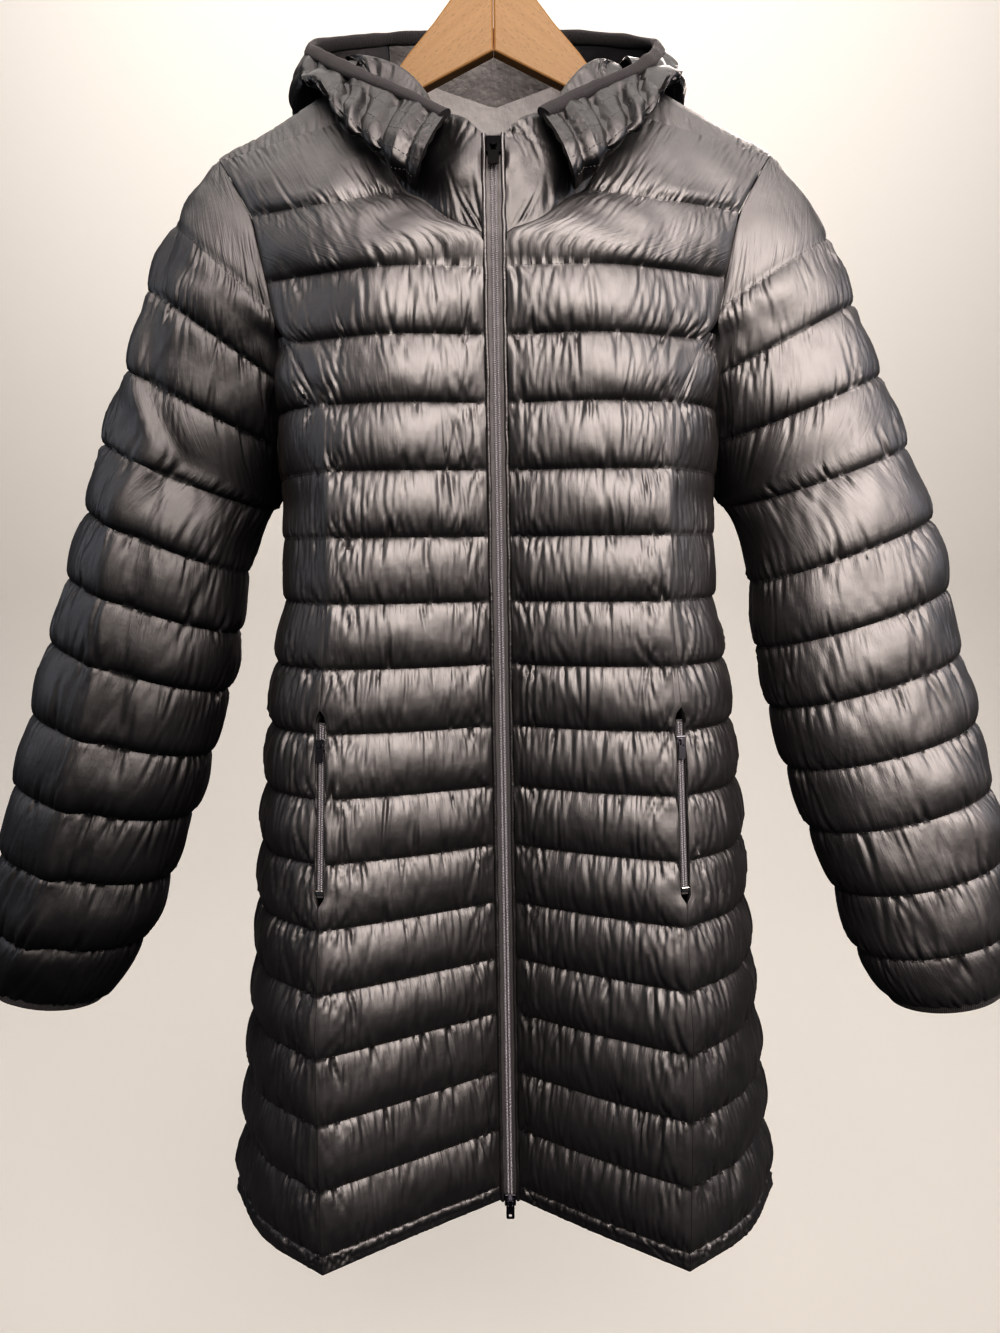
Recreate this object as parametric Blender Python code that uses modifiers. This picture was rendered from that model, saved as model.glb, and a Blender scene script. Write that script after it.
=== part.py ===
"""Long hooded puffer coat, zipped shut, hanging on a plain wooden hanger.

Lengths are in metres. +X is to the viewer's right of the coat's front, +Y to its back and +Z up.
The origin is the point inside the hook's bend where the hanger hangs.

The cloth is cut from columns: curves that run down the coat, such as the zip edge, the princess seam
and the side. A patch is the cloth between neighbouring columns. Panels that share a column meet there,
a seam's gap apart. Heights along a column are counted in stitch lines, from line 0 at the shoulder tip
to line 18 at the hem's edge.
"""

import math

import bmesh
import bpy
import numpy as np
from mathutils import Matrix, Vector

MM = 0.001
GAP = 0.0003  # between pieces that meet at a seam or rest on each other

# Stitch lines of the body: height of a line below the hook, metres
LINE_1_Z = -0.264
LINE_2_Z = -0.3145
CHANNEL = 0.0467  # from line 2 to line 14
SKIRT_CHANNEL = 0.051  # from line 14 to line 17, the hem's stitching
HEM_FOLD = 0.014
SHOULDER_Z = -0.214  # lines -1 to 0, over the shoulder's crest
LINES = (-1, 0, 1, 2, 14, 17, 18)
HEM_STITCH_Z = LINE_2_Z - 12 * CHANNEL - 3 * SKIRT_CHANNEL
LINE_HEIGHTS = (
    SHOULDER_Z,
    SHOULDER_Z,
    LINE_1_Z,
    LINE_2_Z,
    LINE_2_Z - 12 * CHANNEL,
    HEM_STITCH_Z,
    HEM_STITCH_Z - HEM_FOLD,
)

WALL = 0.005  # quilted cloth with its down, pressed flat at the stitching
HOOD_WALL = 0.004
COLLAR_WALL = 0.003
BODY_PUFF = 0.009  # how far the middle of a channel stands proud of its stitch lines
SLEEVE_PUFF = 0.008
HOOD_PUFF = 0.005
SEAM_PUFF = 0.3  # share of the puff that is left at a seam
PUFF_REACH = 0.018  # distance from a seam at which a channel is full

ZIP_HALF = 0.008  # zip centre to front panel
ZIP_LEAN = (-0.001, 0.004)  # the zip's sideways place at the collar and at the hem
CHAIN_HALF = 0.0028
CHAIN_THICK = 0.0022
TAPE_THICK = 0.003
BINDING_RADIUS = 0.0035
BINDING_CLEAR = 0.0013  # hood's bound edge to its binding, where the rim bends

POCKET_TOP, POCKET_END = 8.7, 11.6  # lines between which a pocket zip opens the princess seam
POCKET_HALF = 0.0042

COLOURS = {
    "shell": (0.012, 0.012, 0.014, 0.42, 0.0),
    "knit": (0.02, 0.02, 0.022, 0.9, 0.0),
    "zip": (0.008, 0.008, 0.009, 0.4, 0.0),
    "gunmetal": (0.06, 0.06, 0.065, 0.3, 1.0),
    "nickel": (0.7, 0.7, 0.72, 0.25, 1.0),
    "beech": (0.72, 0.42, 0.17, 0.45, 0.0),
    "steel": (0.6, 0.6, 0.62, 0.3, 1.0),
}

# Columns of the right half, millimetres. rise lifts a point above its line's level.
#   line    x     y   rise
NECK_AND_ZIP_EDGE = (
    (0, 100, -34, 24),
    (0.5, 84, -51, 20),
    (1, 66, -70, 8),
    (1.35, 50, -83, 14),
    (1.65, 30, -96, 12),
    (1.85, 8, -100, 12),
    (2, 8, -100, 0),
    (4, 8, -101, 0),
    (6, 8, -100, 0),
    (9, 8, -94, 0),
    (12, 8, -87, 0),
    (15, 8, -80, 0),
    (18, 8, -75, 0),
)
MID_FRONT = (
    (0, 159, -27, 10),
    (0.5, 138, -52, 2),
    (1, 117, -75, 0),
    (1.5, 101, -89, 0),
    (2, 84, -99, 0),
    (3, 78, -107, 0),
    (4, 70, -112, 0),
    (5, 66, -114, 0),
    (7, 66, -115, 0),
    (9, 70, -114, 0),
    (12, 71, -117, 0),
    (15, 72, -118, 0),
    (18, 72, -115, 0),
)
FRONT_SEAM = (
    (0, 211, -14, 0),
    (0.5, 196, -31, 2),
    (1, 181, -46, 0),
    (1.5, 173, -55, 0),
    (2, 168, -60, 0),
    (2.7, 160, -66, 0),
    (3, 150, -76, 0),
    (3.5, 137, -88, 0),
    (4, 127, -97, 0),
    (5, 123, -106, 0),
    (6, 122, -112, 0),
    (7, 122, -116, 0),
    (8, 126, -119, 0),
    (9, 129, -122, 0),
    (10, 130, -128, 0),
    (11, 131, -134, 0),
    (12, 132, -141, 0),
    (13, 134, -146, 0),
    (14, 136, -150, 0),
    (16, 136, -153, 0),
    (18, 136, -155, 0),
)
ARMHOLE_LOW_FRONT = (
    (2.7, 160, -66, 0),
    (3, 163, -59, 0),
    (3.5, 164, -53, 0),
    (4, 166, -46, 0),
    (4.5, 169, -37, 0),
    (5, 172, -23, -2),
)
ARMHOLE_LOW_BACK = (
    (2.7, 165, 32, 0),
    (3, 166, 31, 0),
    (3.5, 167, 29, 0),
    (4, 169, 25, 0),
    (4.5, 171, 18, 0),
    (5, 173, 8, -2),
)
HORN = 2.7  # where the princess seam and the back's seam leave the armhole
HORN_TIP = 2.86
ARMPIT = 5.4
SIDE_LINE = (
    (ARMPIT, 174, -6, -3),
    (6, 171, -22, 0),
    (7, 167, -40, 0),
    (8, 172, -50, 0),
    (9, 177, -56, 0),
    (10, 182, -59, 0),
    (11, 187, -60, 0),
    (12, 191, -60, 0),
    (13, 196, -60, 0),
    (14, 201, -60, 0),
    (15, 207, -60, 0),
    (16, 212, -60, 0),
    (17, 219, -60, 0),
    (18, 224, -60, 0),
)
BACK_SEAM = (
    (-1, 211, -14, 0),
    (-0.5, 215, 0, 5),
    (0, 211, 13, -2),
    (0.5, 199, 22, 0),
    (1, 186, 27, 0),
    (1.5, 177, 30, 0),
    (2, 171, 31, 0),
    (2.7, 165, 32, 0),
    (3, 156, 33, 0),
    (3.5, 143, 34, 0),
    (4, 131, 35, 0),
    (5, 124, 36, 0),
    (7, 120, 36, 0),
    (9, 124, 38, 0),
    (12, 126, 42, 0),
    (15, 128, 46, 0),
    (18, 130, 50, 0),
)
BACK_BLADE = (
    (-1, 159, -27, 10),
    (-0.5, 160, -3, 30),
    (0, 146, 20, 22),
    (0.5, 128, 27, 4),
    (1, 115, 31, 0),
    (2, 90, 33, 0),
    (3, 80, 34, 0),
    (5, 66, 36, 0),
    (9, 66, 39, 0),
    (12, 66, 43, 0),
    (15, 67, 48, 0),
    (18, 68, 52, 0),
)
NECK_AND_BACK_CENTRE = (
    (-1, 100, -34, 24),
    (-0.5, 98, -7, 66),
    (0, 80, 16, 48),
    (0.25, 52, 28, 34),
    (0.55, 0, 33, 37),
    (1, 0, 35, 0),
    (2, 0, 36, 0),
    (5, 0, 38, 0),
    (9, 0, 41, 0),
    (12, 0, 45, 0),
    (18, 0, 54, 0),
)
BACK_NECK_END = 0.55

# Rings of the sleeves at their stitch lines, millimetres and degrees. The cuff is line 12.
#   line   x    y     z   half width, half depth, tilt
SLEEVE_RINGS = {
    "L": (
        (1, 211, -18, -294, 45, 42, 43),
        (2, 221, -22, -344, 50, 48, 37),
        (3, 234, -28, -402, 56, 51, 33),
        (4, 247, -38, -456, 60, 53, 28),
        (5, 254, -47, -503, 62, 52, 23),
        (6, 265, -56, -550, 65, 51, 20),
        (7, 276, -64, -596, 66, 50, 18),
        (8, 289, -73, -646, 66, 49, 15.5),
        (9, 303, -82, -695, 64, 47, 13),
        (10, 316, -90, -743, 61, 45, 11),
        (11, 330, -98, -793, 54, 41, 9),
        (12, 346, -103, -838, 40, 29, 9),
    ),
    "R": (
        (1, 215, -18, -306, 48, 43, 36),
        (2, 225, -22, -358, 56, 49, 32),
        (3, 239, -28, -411, 61, 52, 28),
        (4, 253, -38, -463, 64, 53, 24),
        (5, 263, -47, -515, 70, 52, 20),
        (6, 271, -56, -566, 73, 51, 18),
        (7, 280, -64, -613, 72, 50, 17),
        (8, 291, -73, -661, 70, 49, 15.5),
        (9, 304, -82, -708, 67, 47, 15),
        (10, 318, -90, -756, 62, 45, 14),
        (11, 329, -98, -805, 56, 41, 12),
        (12, 338, -103, -846, 42, 31, 9),
    ),
}
SLEEVE_ARMPIT = 3.6  # the sleeve's line at the armpit
SLEEVE_SETTLED = 5.0  # below this line the sleeve no longer follows the armhole
ARMPIT_CLEAR = 0.0048  # sleeve's underside to the side panel at the armpit, where both are padded
# Where the cap's lines end on the armhole: sleeve line against body line
CAP_LINES = (0, 1, 2, 3, SLEEVE_ARMPIT)
CAP_ENDS = (0, 2.5, 3.5, 4.5, ARMPIT)
CAP_OPENING = (2.0, 1.25, 0.85, 0.45, 0.0)  # angle from the underarm at which a cap row starts
ACROSS = (0.0, 0.15, 0.5, 0.85, 1.0)  # where the quilted panels bend, across their width

# Stand collar, right half: share of the neck seam from the zip to the back, and its top edge
#   share   x    y     z
COLLAR_TOP = (
    (0.0, 8, -88, -223),
    (0.07, 20, -81, -211),
    (0.17, 33, -70, -203),
    (0.24, 43, -61, -196),
    (0.37, 52, -38, -175),
    (0.49, 69, -22, -152),
    (0.62, 91, -2, -126),
    (0.74, 80, 17, -126),
    (0.87, 42, 28, -144),
    (1.0, 0, 31, -158),
)

# Hood, right half: six rows from the neck seam through the bottom of its pouch to the bound rim
HOOD_COLUMNS = {
    "front": (
        (56, -85.5, -261),
        (55, -97, -258),
        (52, -102, -250),
        (48, -102, -240),
        (44, -97, -230),
        (39, -90, -219),
        (34, -82, -209),
    ),
    "collar": (
        (75, -72, -240),
        (81, -83, -237),
        (85, -87, -229),
        (84, -84, -218),
        (78, -77, -207),
        (71, -69, -197),
        (63, -61, -187),
    ),
    "shoulder": (
        (105, -47, -192),
        (115, -57, -195),
        (120, -56, -190),
        (120, -52, -181),
        (114, -44, -173),
        (110, -41, -168),
        (105, -37, -161),
    ),
    "side": (
        (100.6, -8, -141),
        (119, -8, -148),
        (136, -7, -153),
        (147, -1, -154),
        (150, 5, -148),
        (143, 3, -141),
        (130, -4, -135),
    ),
    "corner": (
        (83.5, 17.5, -159),
        (108, 42, -188),
        (130, 54, -203),
        (150, 62, -188),
        (156, 60, -160),
        (150, 54, -130),
        (138, 46, -106),
    ),
    "back_side": (
        (45.5, 32.3, -190),
        (56, 56, -238),
        (64, 68, -282),
        (72, 96, -284),
        (78, 116, -222),
        (80, 110, -146),
        (80, 90, -80),
    ),
    "centre": (
        (0, 34.2, -198),
        (0, 60, -244),
        (0, 70, -296),
        (0, 102, -298),
        (0, 124, -228),
        (0, 117, -148),
        (0, 100, -74),
    ),
}
HOOD_LEAN = {"side": 0.3, "corner": 0.9, "back_side": 1.0, "centre": 1.0}  # share of the lean
HOOD_LEAN_WIDTH = -0.011  # the hood falls this far to the left at its rim
HOOD_SIDE = ("front", "collar", "shoulder", "side", "corner", "back_side")
HOOD_CHANNELS = 7

# Hanger, millimetres: the arm's outline from the mitre at the middle out to the tip
ARM_TOP = (
    (0, -64),
    (12, -72),
    (30, -93),
    (46, -113),
    (66, -135),
    (76, -148),
    (86, -166),
    (104, -174),
    (126, -183),
    (150, -194),
    (188, -213),
)
ARM_BOTTOM = ((194, -223), (186, -229), (150, -212), (106, -192), (80, -178), (56, -160), (0, -133))
ARM_THICK = 0.013
HOOK_WIRE = 0.0018
HOOK_RADIUS = 0.020


# ---------------------------------------------------------------- curves and patches


def hermite(keys, values, at):
    """Smooth curve through values at uneven keys that doesn't overshoot them."""
    keys = np.asarray(keys, float)
    values = np.asarray(values, float)
    at = np.clip(np.asarray(at, float), keys[0], keys[-1])
    step = np.diff(keys)
    slope = np.diff(values, axis=0) / step[:, None]
    tangent = np.zeros_like(values)
    tangent[0], tangent[-1] = slope[0], slope[-1]
    if len(keys) > 2:
        near, far = slope[:-1], slope[1:]
        same = near * far > 0
        weight_near = (2 * step[1:] + step[:-1])[:, None]
        weight_far = (step[1:] + 2 * step[:-1])[:, None]
        near_safe = np.where(same, near, 1.0)
        far_safe = np.where(same, far, 1.0)
        mean = (weight_near + weight_far) / (weight_near / near_safe + weight_far / far_safe)
        tangent[1:-1] = np.where(same, mean, 0.0)
    i = np.clip(np.searchsorted(keys, at, side="right") - 1, 0, len(keys) - 2)
    h = step[i][..., None]
    t = ((at - keys[i]) / step[i])[..., None]
    return (
        values[i] * (1 + 2 * t) * (1 - t) ** 2
        + tangent[i] * h * t * (1 - t) ** 2
        + values[i + 1] * t**2 * (3 - 2 * t)
        + tangent[i + 1] * h * t**2 * (t - 1)
    )


def catmull(keys, points, at):
    """Smooth curve through points, rounded between them, for going across a patch."""
    keys = np.asarray(keys, float)
    at = np.clip(np.asarray(at, float), keys[0], keys[-1])
    i = np.clip(np.searchsorted(keys, at, side="right") - 1, 0, len(keys) - 2)
    slopes = [(points[k + 1] - points[k]) / (keys[k + 1] - keys[k]) for k in range(len(keys) - 1)]
    tangents = [slopes[0]]
    tangents += [(slopes[k] + slopes[k + 1]) / 2 for k in range(len(slopes) - 1)]
    tangents.append(slopes[-1])
    points, tangents = np.stack(points), np.stack(tangents)
    rows = np.arange(points.shape[1]).reshape(-1, *([1] * (i.ndim - 1)))
    h = (keys[i + 1] - keys[i])[..., None]
    t = ((at - keys[i]) / (keys[i + 1] - keys[i]))[..., None]
    return (
        points[i, rows] * (1 + 2 * t) * (1 - t) ** 2
        + tangents[i, rows] * h * t * (1 - t) ** 2
        + points[i + 1, rows] * t**2 * (3 - 2 * t)
        + tangents[i + 1, rows] * h * t**2 * (t - 1)
    )


def line_height(line):
    return np.interp(line, LINES, LINE_HEIGHTS)


def zip_centre(line):
    return np.interp(line, (1, 18), ZIP_LEAN)


def column(rows, side=1):
    """A function from stitch line to points, in metres, for one column of the coat."""
    rows = np.array(rows, float)

    def at(line):
        line = np.asarray(line, float)
        xyr = hermite(rows[:, 0], rows[:, 1:], line) * MM
        points = np.stack([side * xyr[..., 0], xyr[..., 1], line_height(line) + xyr[..., 2]], -1)
        return points

    return at


def zip_edge(side):
    """The neck and zip edge, which follows the zip's slight lean."""
    plain = column(NECK_AND_ZIP_EDGE, side)

    def at(line):
        points = plain(line)
        points[..., 0] += zip_centre(line) * np.clip(np.asarray(line) - 1, 0, 1)
        return points

    return at


def under_arm(armhole_rows, side):
    """The armhole's lower edge down to the armpit, and from there the line down the side."""
    edge, side_line = column(armhole_rows + SIDE_LINE[:1], side), column(SIDE_LINE, side)

    def at(line):
        line = np.asarray(line, float)
        return np.where((line < ARMPIT)[..., None], edge(line), side_line(line))

    return at


def bowed(first, second, bow, side, full_from=6.0):
    """The column half way between two others, bowed outwards as the cloth rounds the body."""

    def at(line):
        line = np.asarray(line, float)
        a, b = first(line), second(line)
        along = b - a
        out = np.stack([along[..., 1], -along[..., 0], np.zeros_like(along[..., 0])], -1)
        out /= np.maximum(np.linalg.norm(out, axis=-1, keepdims=True), 1e-9)
        out *= np.sign(out[..., :1]) * side
        grown = np.clip((line - 2.7) / (full_from - 2.7), 0, 1)
        return (a + b) / 2 + out * (bow * grown)[..., None]

    return at


class Patch:
    """Cloth between columns. u runs across, from 0 at the first column to 1 at the last."""

    def __init__(self, columns, lines, outward):
        self.columns = columns
        self.keys = np.linspace(0, 1, len(columns))
        self.low, self.high = lines
        self.sign = 1.0
        middle = self.normal(np.array([0.5]), np.array([(self.low + self.high) / 2]))
        if middle[0] @ np.asarray(outward, float) < 0:
            self.sign = -1.0

    def point(self, u, line):
        u, line = np.broadcast_arrays(np.asarray(u, float), np.asarray(line, float))
        flat = catmull(self.keys, [c(line.ravel()) for c in self.columns], u.ravel())
        return flat.reshape(*u.shape, 3)

    def normal(self, u, line):
        """Unit normal on the outer side, from differences that stay inside the patch."""
        u, line = np.broadcast_arrays(np.asarray(u, float), np.asarray(line, float))
        across = self.point(np.minimum(u + 0.12, 1), line) - self.point(np.maximum(u - 0.12, 0), line)
        down = self.point(u, np.minimum(line + 0.3, self.high)) - self.point(
            u, np.maximum(line - 0.3, self.low)
        )
        n = np.cross(across, down) * self.sign
        return n / np.maximum(np.linalg.norm(n, axis=-1, keepdims=True), 1e-12)


def mitre(first, second):
    n = first + second
    return n / np.linalg.norm(n, axis=-1, keepdims=True)


def quilt_rows(first, last, per_channel=2):
    """Rows at the stitch lines and evenly between them, from first to last."""
    inner = [k / per_channel for k in range(math.ceil(first * per_channel), int(last * per_channel) + 1)]
    return sorted({float(first), *inner, float(last)})


# ---------------------------------------------------------------- solids from patches


def puff_share(line):
    """How full a channel is at this line: 0 on a stitch line, 1 half way between two."""
    return np.sin(math.pi * (np.asarray(line, float) % 1.0)) ** 0.8


def layer(
    patch,
    us,
    lines,
    puff,
    edge_normals=(None, None),
    edge_gaps=(GAP, GAP),
    fades=(True, True),
    top_normals=None,
    fill=None,
):
    """Outer points and inward directions of a patch, row by row, ready to be given their thickness.

    edge_normals replace the patch's own normal along u = 0 and u = 1, and top_normals along the first
    line. edge_gaps are half gaps that pull the side edges in, as numbers or one for each line. fades
    says which edges are seams, and fill is each line's share of the down.
    """
    lines = np.asarray(lines, float)
    grid_u, grid_line = np.meshgrid(us, lines)
    points = patch.point(grid_u, grid_line)
    normals = patch.normal(grid_u, grid_line)
    for end, given in zip((0, -1), edge_normals):
        if given is not None:
            normals[:, end] = given(lines)
    if top_normals is not None:
        normals[0] = top_normals
    full = np.ones(points.shape[:2])
    if fill is not None:
        full *= np.asarray(fill)[:, None]
    for end, is_seam in zip((0, -1), fades):
        reach = np.linalg.norm(points - points[:, [end]], axis=-1) / PUFF_REACH
        is_seam = np.broadcast_to(is_seam, lines.shape)[:, None]
        full *= np.where(is_seam, SEAM_PUFF + (1 - SEAM_PUFF) * np.clip(reach, 0, 1), 1)
    for end, beside, gap in ((0, 1, edge_gaps[0]), (-1, -2, edge_gaps[1])):
        along = points[:, beside] - points[:, end]
        along /= np.maximum(np.linalg.norm(along, axis=-1, keepdims=True), 1e-9)
        points[:, end] += along * (np.ones(len(lines)) * gap)[:, None]
    points += normals * (puff * full * puff_share(grid_line))[..., None]
    return points, -normals


def trim_rows(points, top=GAP, bottom=0.0):
    """Pulls the first and last rows in, away from the pieces that they are sewn to."""
    for end, beside, gap in ((0, 1, top), (-1, -2, bottom)):
        along = points[beside] - points[end]
        along /= np.maximum(np.linalg.norm(along, axis=-1, keepdims=True), 1e-9)
        points[end] += along * gap
    return points


def cloth(name, layers, thickness, material):
    """One closed solid from one or more layers: grids whose shared edges are welded, then thickened."""
    bm = bmesh.new()
    inward = bm.verts.layers.float_vector.new("inward")
    for points, directions in layers:
        rows, cols = points.shape[:2]
        made = bmesh.ops.create_grid(bm, x_segments=cols - 1, y_segments=rows - 1, size=0.5)["verts"]
        made.sort(key=lambda v: (round(v.co.y, 5), round(v.co.x, 5)))
        for vert, place, direction in zip(made, points.reshape(-1, 3), directions.reshape(-1, 3)):
            vert.co = place
            vert[inward] = direction
    bmesh.ops.remove_doubles(bm, verts=bm.verts[:], dist=0.00002)
    bmesh.ops.recalc_face_normals(bm, faces=bm.faces[:])
    bm.faces.ensure_lookup_table()
    outside = sum(f.normal.dot(-f.verts[0][inward]) * f.calc_area() for f in bm.faces)
    if outside < 0:
        bmesh.ops.reverse_faces(bm, faces=bm.faces[:])
    thick = bmesh.ops.extrude_face_region(bm, geom=bm.faces[:], use_keep_orig=True)
    moved = [item for item in thick["geom"] if isinstance(item, bmesh.types.BMVert)]
    for vert in moved:
        vert.co += vert[inward].normalized() * thickness
    bmesh.ops.recalc_face_normals(bm, faces=bm.faces[:])
    return add_mesh(name, bm, material)


def add_mesh(name, bm, material):
    mesh = bpy.data.meshes.new(name)
    bm.to_mesh(mesh)
    bm.free()
    obj = bpy.data.objects.new(name, mesh)
    coat.objects.link(obj)
    obj.data.materials.append(materials[material])
    mesh.shade_smooth()
    mesh.set_sharp_from_angle(angle=math.radians(35))
    return obj


# ---------------------------------------------------------------- the body's panels


def body_patches(side):
    """The four patches of one half of the body, in order round it from the zip."""
    edge = zip_edge(side)
    mid = column(MID_FRONT, side)
    seam = column(FRONT_SEAM, side)
    side_front = under_arm(ARMHOLE_LOW_FRONT, side)
    side_back = under_arm(ARMHOLE_LOW_BACK, side)
    back_seam = column(BACK_SEAM, side)
    blade = column(BACK_BLADE, side)
    centre = column(NECK_AND_BACK_CENTRE, side)
    return {
        "front": Patch([edge, mid, seam], (0, 18), (0, -1, 0)),
        "side_front": Patch(
            [seam, bowed(seam, side_front, 0.012, side), side_front], (2.7, 18), (side, -0.5, 0)
        ),
        "side_back": Patch(
            [side_back, bowed(side_back, back_seam, 0.018, side), back_seam], (2.7, 18), (side, 0.5, 0)
        ),
        "back": Patch([centre, blade, back_seam], (-1, 18), (0, 1, 0)),
    }


def edge_of(patch, u):
    return lambda line: patch.normal(np.full(len(line), float(u)), line)


def straight_forward(line):
    """The direction in which the zip's edges are folded: squarely forward."""
    return np.broadcast_to(np.array([0.0, -1.0, 0.0]), (len(line), 3))


def seam_mitre(first, u_first, second, u_second, from_line=HORN):
    """The shared direction along a seam; above it, where the sleeve is sewn on, the first patch's own."""

    def at(line):
        own = first.normal(np.full(len(line), float(u_first)), line)
        other = second.normal(np.full(len(line), float(u_second)), np.maximum(line, from_line))
        return np.where((line >= from_line)[:, None], mitre(own, other), own)

    return at


def shoulder_mitre(patches):
    """The shared direction along the shoulder seam, between the front's line 0 and the back's line -1."""
    across = np.array(ACROSS)
    return mitre(patches["front"].normal(across, 0.0), patches["back"].normal(across, -1.0))


def pocket_gap(lines):
    """Half the width of a princess seam: a seam's gap, opened where the pocket zip is set in."""
    lines = np.asarray(lines, float)
    inside = (lines > POCKET_TOP) & (lines < POCKET_END)
    return np.where(inside, POCKET_HALF, GAP / 2)


def armpit_fill(lines):
    """Share of the down beside the sleeve, where side and sleeve press each other flat."""
    return np.interp(lines, (4.5, ARMPIT, 6.5, 8), (1, 0.3, 0.4, 1))


def shoulder_fill(lines):
    """Share of the down over the shoulder and under the hood, where the cloth bears their weight."""
    return np.interp(lines, (0, 1, 2), (0.3, 0.4, 1))


def make_front(name, patches):
    lines = sorted(set(quilt_rows(0, 18)) | {0.25, 1.35, 1.65, 1.85, HORN, HORN_TIP})
    points, inward = layer(
        patches["front"],
        ACROSS,
        lines,
        BODY_PUFF,
        edge_normals=(straight_forward, seam_mitre(patches["front"], 1, patches["side_front"], 0)),
        edge_gaps=(GAP / 2, pocket_gap(lines)),
        top_normals=shoulder_mitre(patches),
    )
    cloth(name, [(trim_rows(points, top=GAP / 2), inward)], WALL, "shell")


def make_side(name, patches):
    lines = np.array(sorted(set(quilt_rows(3, 18)) | {HORN_TIP, ARMPIT}))
    armhole = np.where(lines < ARMPIT, 1.5 * GAP, 0.0)
    front, back = patches["side_front"], patches["side_back"]

    def own_or_joined(own):
        """The patch's own direction at the armhole, and both halves' together below the armpit."""

        def at(line):
            joined = mitre(edge_of(front, 1)(line), edge_of(back, 0)(line))
            return np.where((line >= ARMPIT)[:, None], joined, own(line))

        return at

    layers = []
    for half, us, normals, gaps, fades in (
        (
            front,
            (0.0, 0.5, 1.0),
            (seam_mitre(patches["front"], 1, front, 0), own_or_joined(edge_of(front, 1))),
            (pocket_gap(lines), armhole),
            (True, False),
        ),
        (
            back,
            (0.0, 0.33, 0.7, 1.0),
            (own_or_joined(edge_of(back, 0)), seam_mitre(patches["back"], 1, back, 1)),
            (armhole, GAP / 2),
            (False, True),
        ),
    ):
        points, inward = layer(
            half, us, lines, BODY_PUFF, normals, gaps, fades, fill=armpit_fill(lines)
        )
        layers.append((trim_rows(points), inward))
    cloth(name, layers, WALL, "shell")


def make_back(name, halves):
    lines = np.array(sorted(set(quilt_rows(-1, 18)) | {0.25, BACK_NECK_END, HORN, HORN_TIP}))
    neck = np.where(lines < BACK_NECK_END, GAP / 2, 0.0)
    layers = []
    for patches in halves:
        back = patches["back"]

        def centre(line, back=back):
            own = edge_of(back, 0)(line)
            own[line >= BACK_NECK_END, 0] = 0.0
            return own / np.linalg.norm(own, axis=-1, keepdims=True)

        points, inward = layer(
            back,
            ACROSS,
            lines,
            BODY_PUFF,
            edge_normals=(centre, seam_mitre(back, 1, patches["side_back"], 1)),
            edge_gaps=(neck, GAP / 2),
            fades=(lines < BACK_NECK_END, True),
            top_normals=shoulder_mitre(patches),
            fill=shoulder_fill(lines),
        )
        layers.append((trim_rows(points, top=GAP / 2), inward))
    cloth(name, layers, WALL, "shell")


# ---------------------------------------------------------------- sleeves


class Sleeve:
    """A sleeve: rings round the arm, whose first rows open into the armhole."""

    def __init__(self, side_name, patches):
        self.side = -1 if side_name == "L" else 1
        self.rings = np.array(SLEEVE_RINGS[side_name], float)
        self.patches = patches

    def ring(self, angle, line):
        """Points of the full ring: angle 0 is the underarm, and the front comes next."""
        x, y, z, half_width, half_depth, tilt = np.moveaxis(
            hermite(self.rings[:, 0], self.rings[:, 1:], line), -1, 0
        )
        tilt = np.radians(tilt)
        across, forward = half_width * np.cos(angle), half_depth * np.sin(angle)
        ring = (self.side * (x - across * np.cos(tilt)), y - forward, z - across * np.sin(tilt))
        return np.stack(ring, -1) * MM

    def armhole(self, line, behind):
        """The armhole's front or back edge at the body's lines, and the body's normals there."""
        high, low = (("back", "side_back"), ("front", "side_front"))[not behind]
        above, below = self.patches[high], self.patches[low]
        edge, seam = (0.0, 1.0) if behind else (1.0, 0.0)
        on_horn = np.maximum(line, HORN)
        is_above = (line < HORN)[:, None]
        is_corner = (line == HORN)[:, None]
        points = np.where(is_above, above.point(1.0, line), below.point(edge, on_horn))
        corner = mitre(above.normal(1.0, line), below.normal(seam, on_horn))
        normals = np.where(is_above, above.normal(1.0, line), below.normal(edge, on_horn))
        return points, np.where(is_corner, corner, normals)

    def shoulder_tip(self, shares):
        """Over the tip of the shoulder, from the armhole's front to its back, and the body's normals."""
        keys = np.array([-1.0, -0.5, 0.0])
        edge = self.patches["back"].point(1.0, keys)
        normals = self.patches["back"].normal(1.0, keys)
        normals[0] = mitre(normals[0], self.patches["front"].normal(1.0, 0.0))
        at = np.asarray(shares) - 1
        mixed = [np.stack([np.interp(at, keys, v[:, k]) for k in range(3)], -1) for v in (edge, normals)]
        return mixed[0], mixed[1] / np.linalg.norm(mixed[1], axis=-1, keepdims=True)

    def rows(self, shares, lines):
        """Points row by row. share goes round from the armhole's front edge to its back edge."""
        arc, _ = self.shoulder_tip(shares)
        body_lines = np.interp(lines, CAP_LINES, CAP_ENDS)
        ends = [self.armhole(body_lines, behind)[0] for behind in (False, True)]
        rows = []
        for k, line in enumerate(lines):
            start = np.interp(max(line, 1), CAP_LINES, CAP_OPENING)
            angle = start + (2 * math.pi - 2 * start) * shares
            row = self.ring(angle, np.full(len(shares), max(line, 1.0)))
            if line < 1:
                bulge = 0.002 * math.sin(math.pi * line) * np.sin(math.pi * shares)
                row = arc + (row - arc) * line + bulge[:, None] * np.array([self.side * 0.8, 0, 0.6])
            settle = np.clip((SLEEVE_SETTLED - line) / (SLEEVE_SETTLED - SLEEVE_ARMPIT), 0, 1)
            settle = settle * settle * (3 - 2 * settle)
            for end, edge, reach in ((0, ends[0][k], 1 - 2 * shares), (-1, ends[1][k], 2 * shares - 1)):
                row = row + (settle * np.clip(reach, 0, 1) ** 2)[:, None] * (edge - row[end])
            rows.append(row)
        return np.stack(rows)


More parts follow.
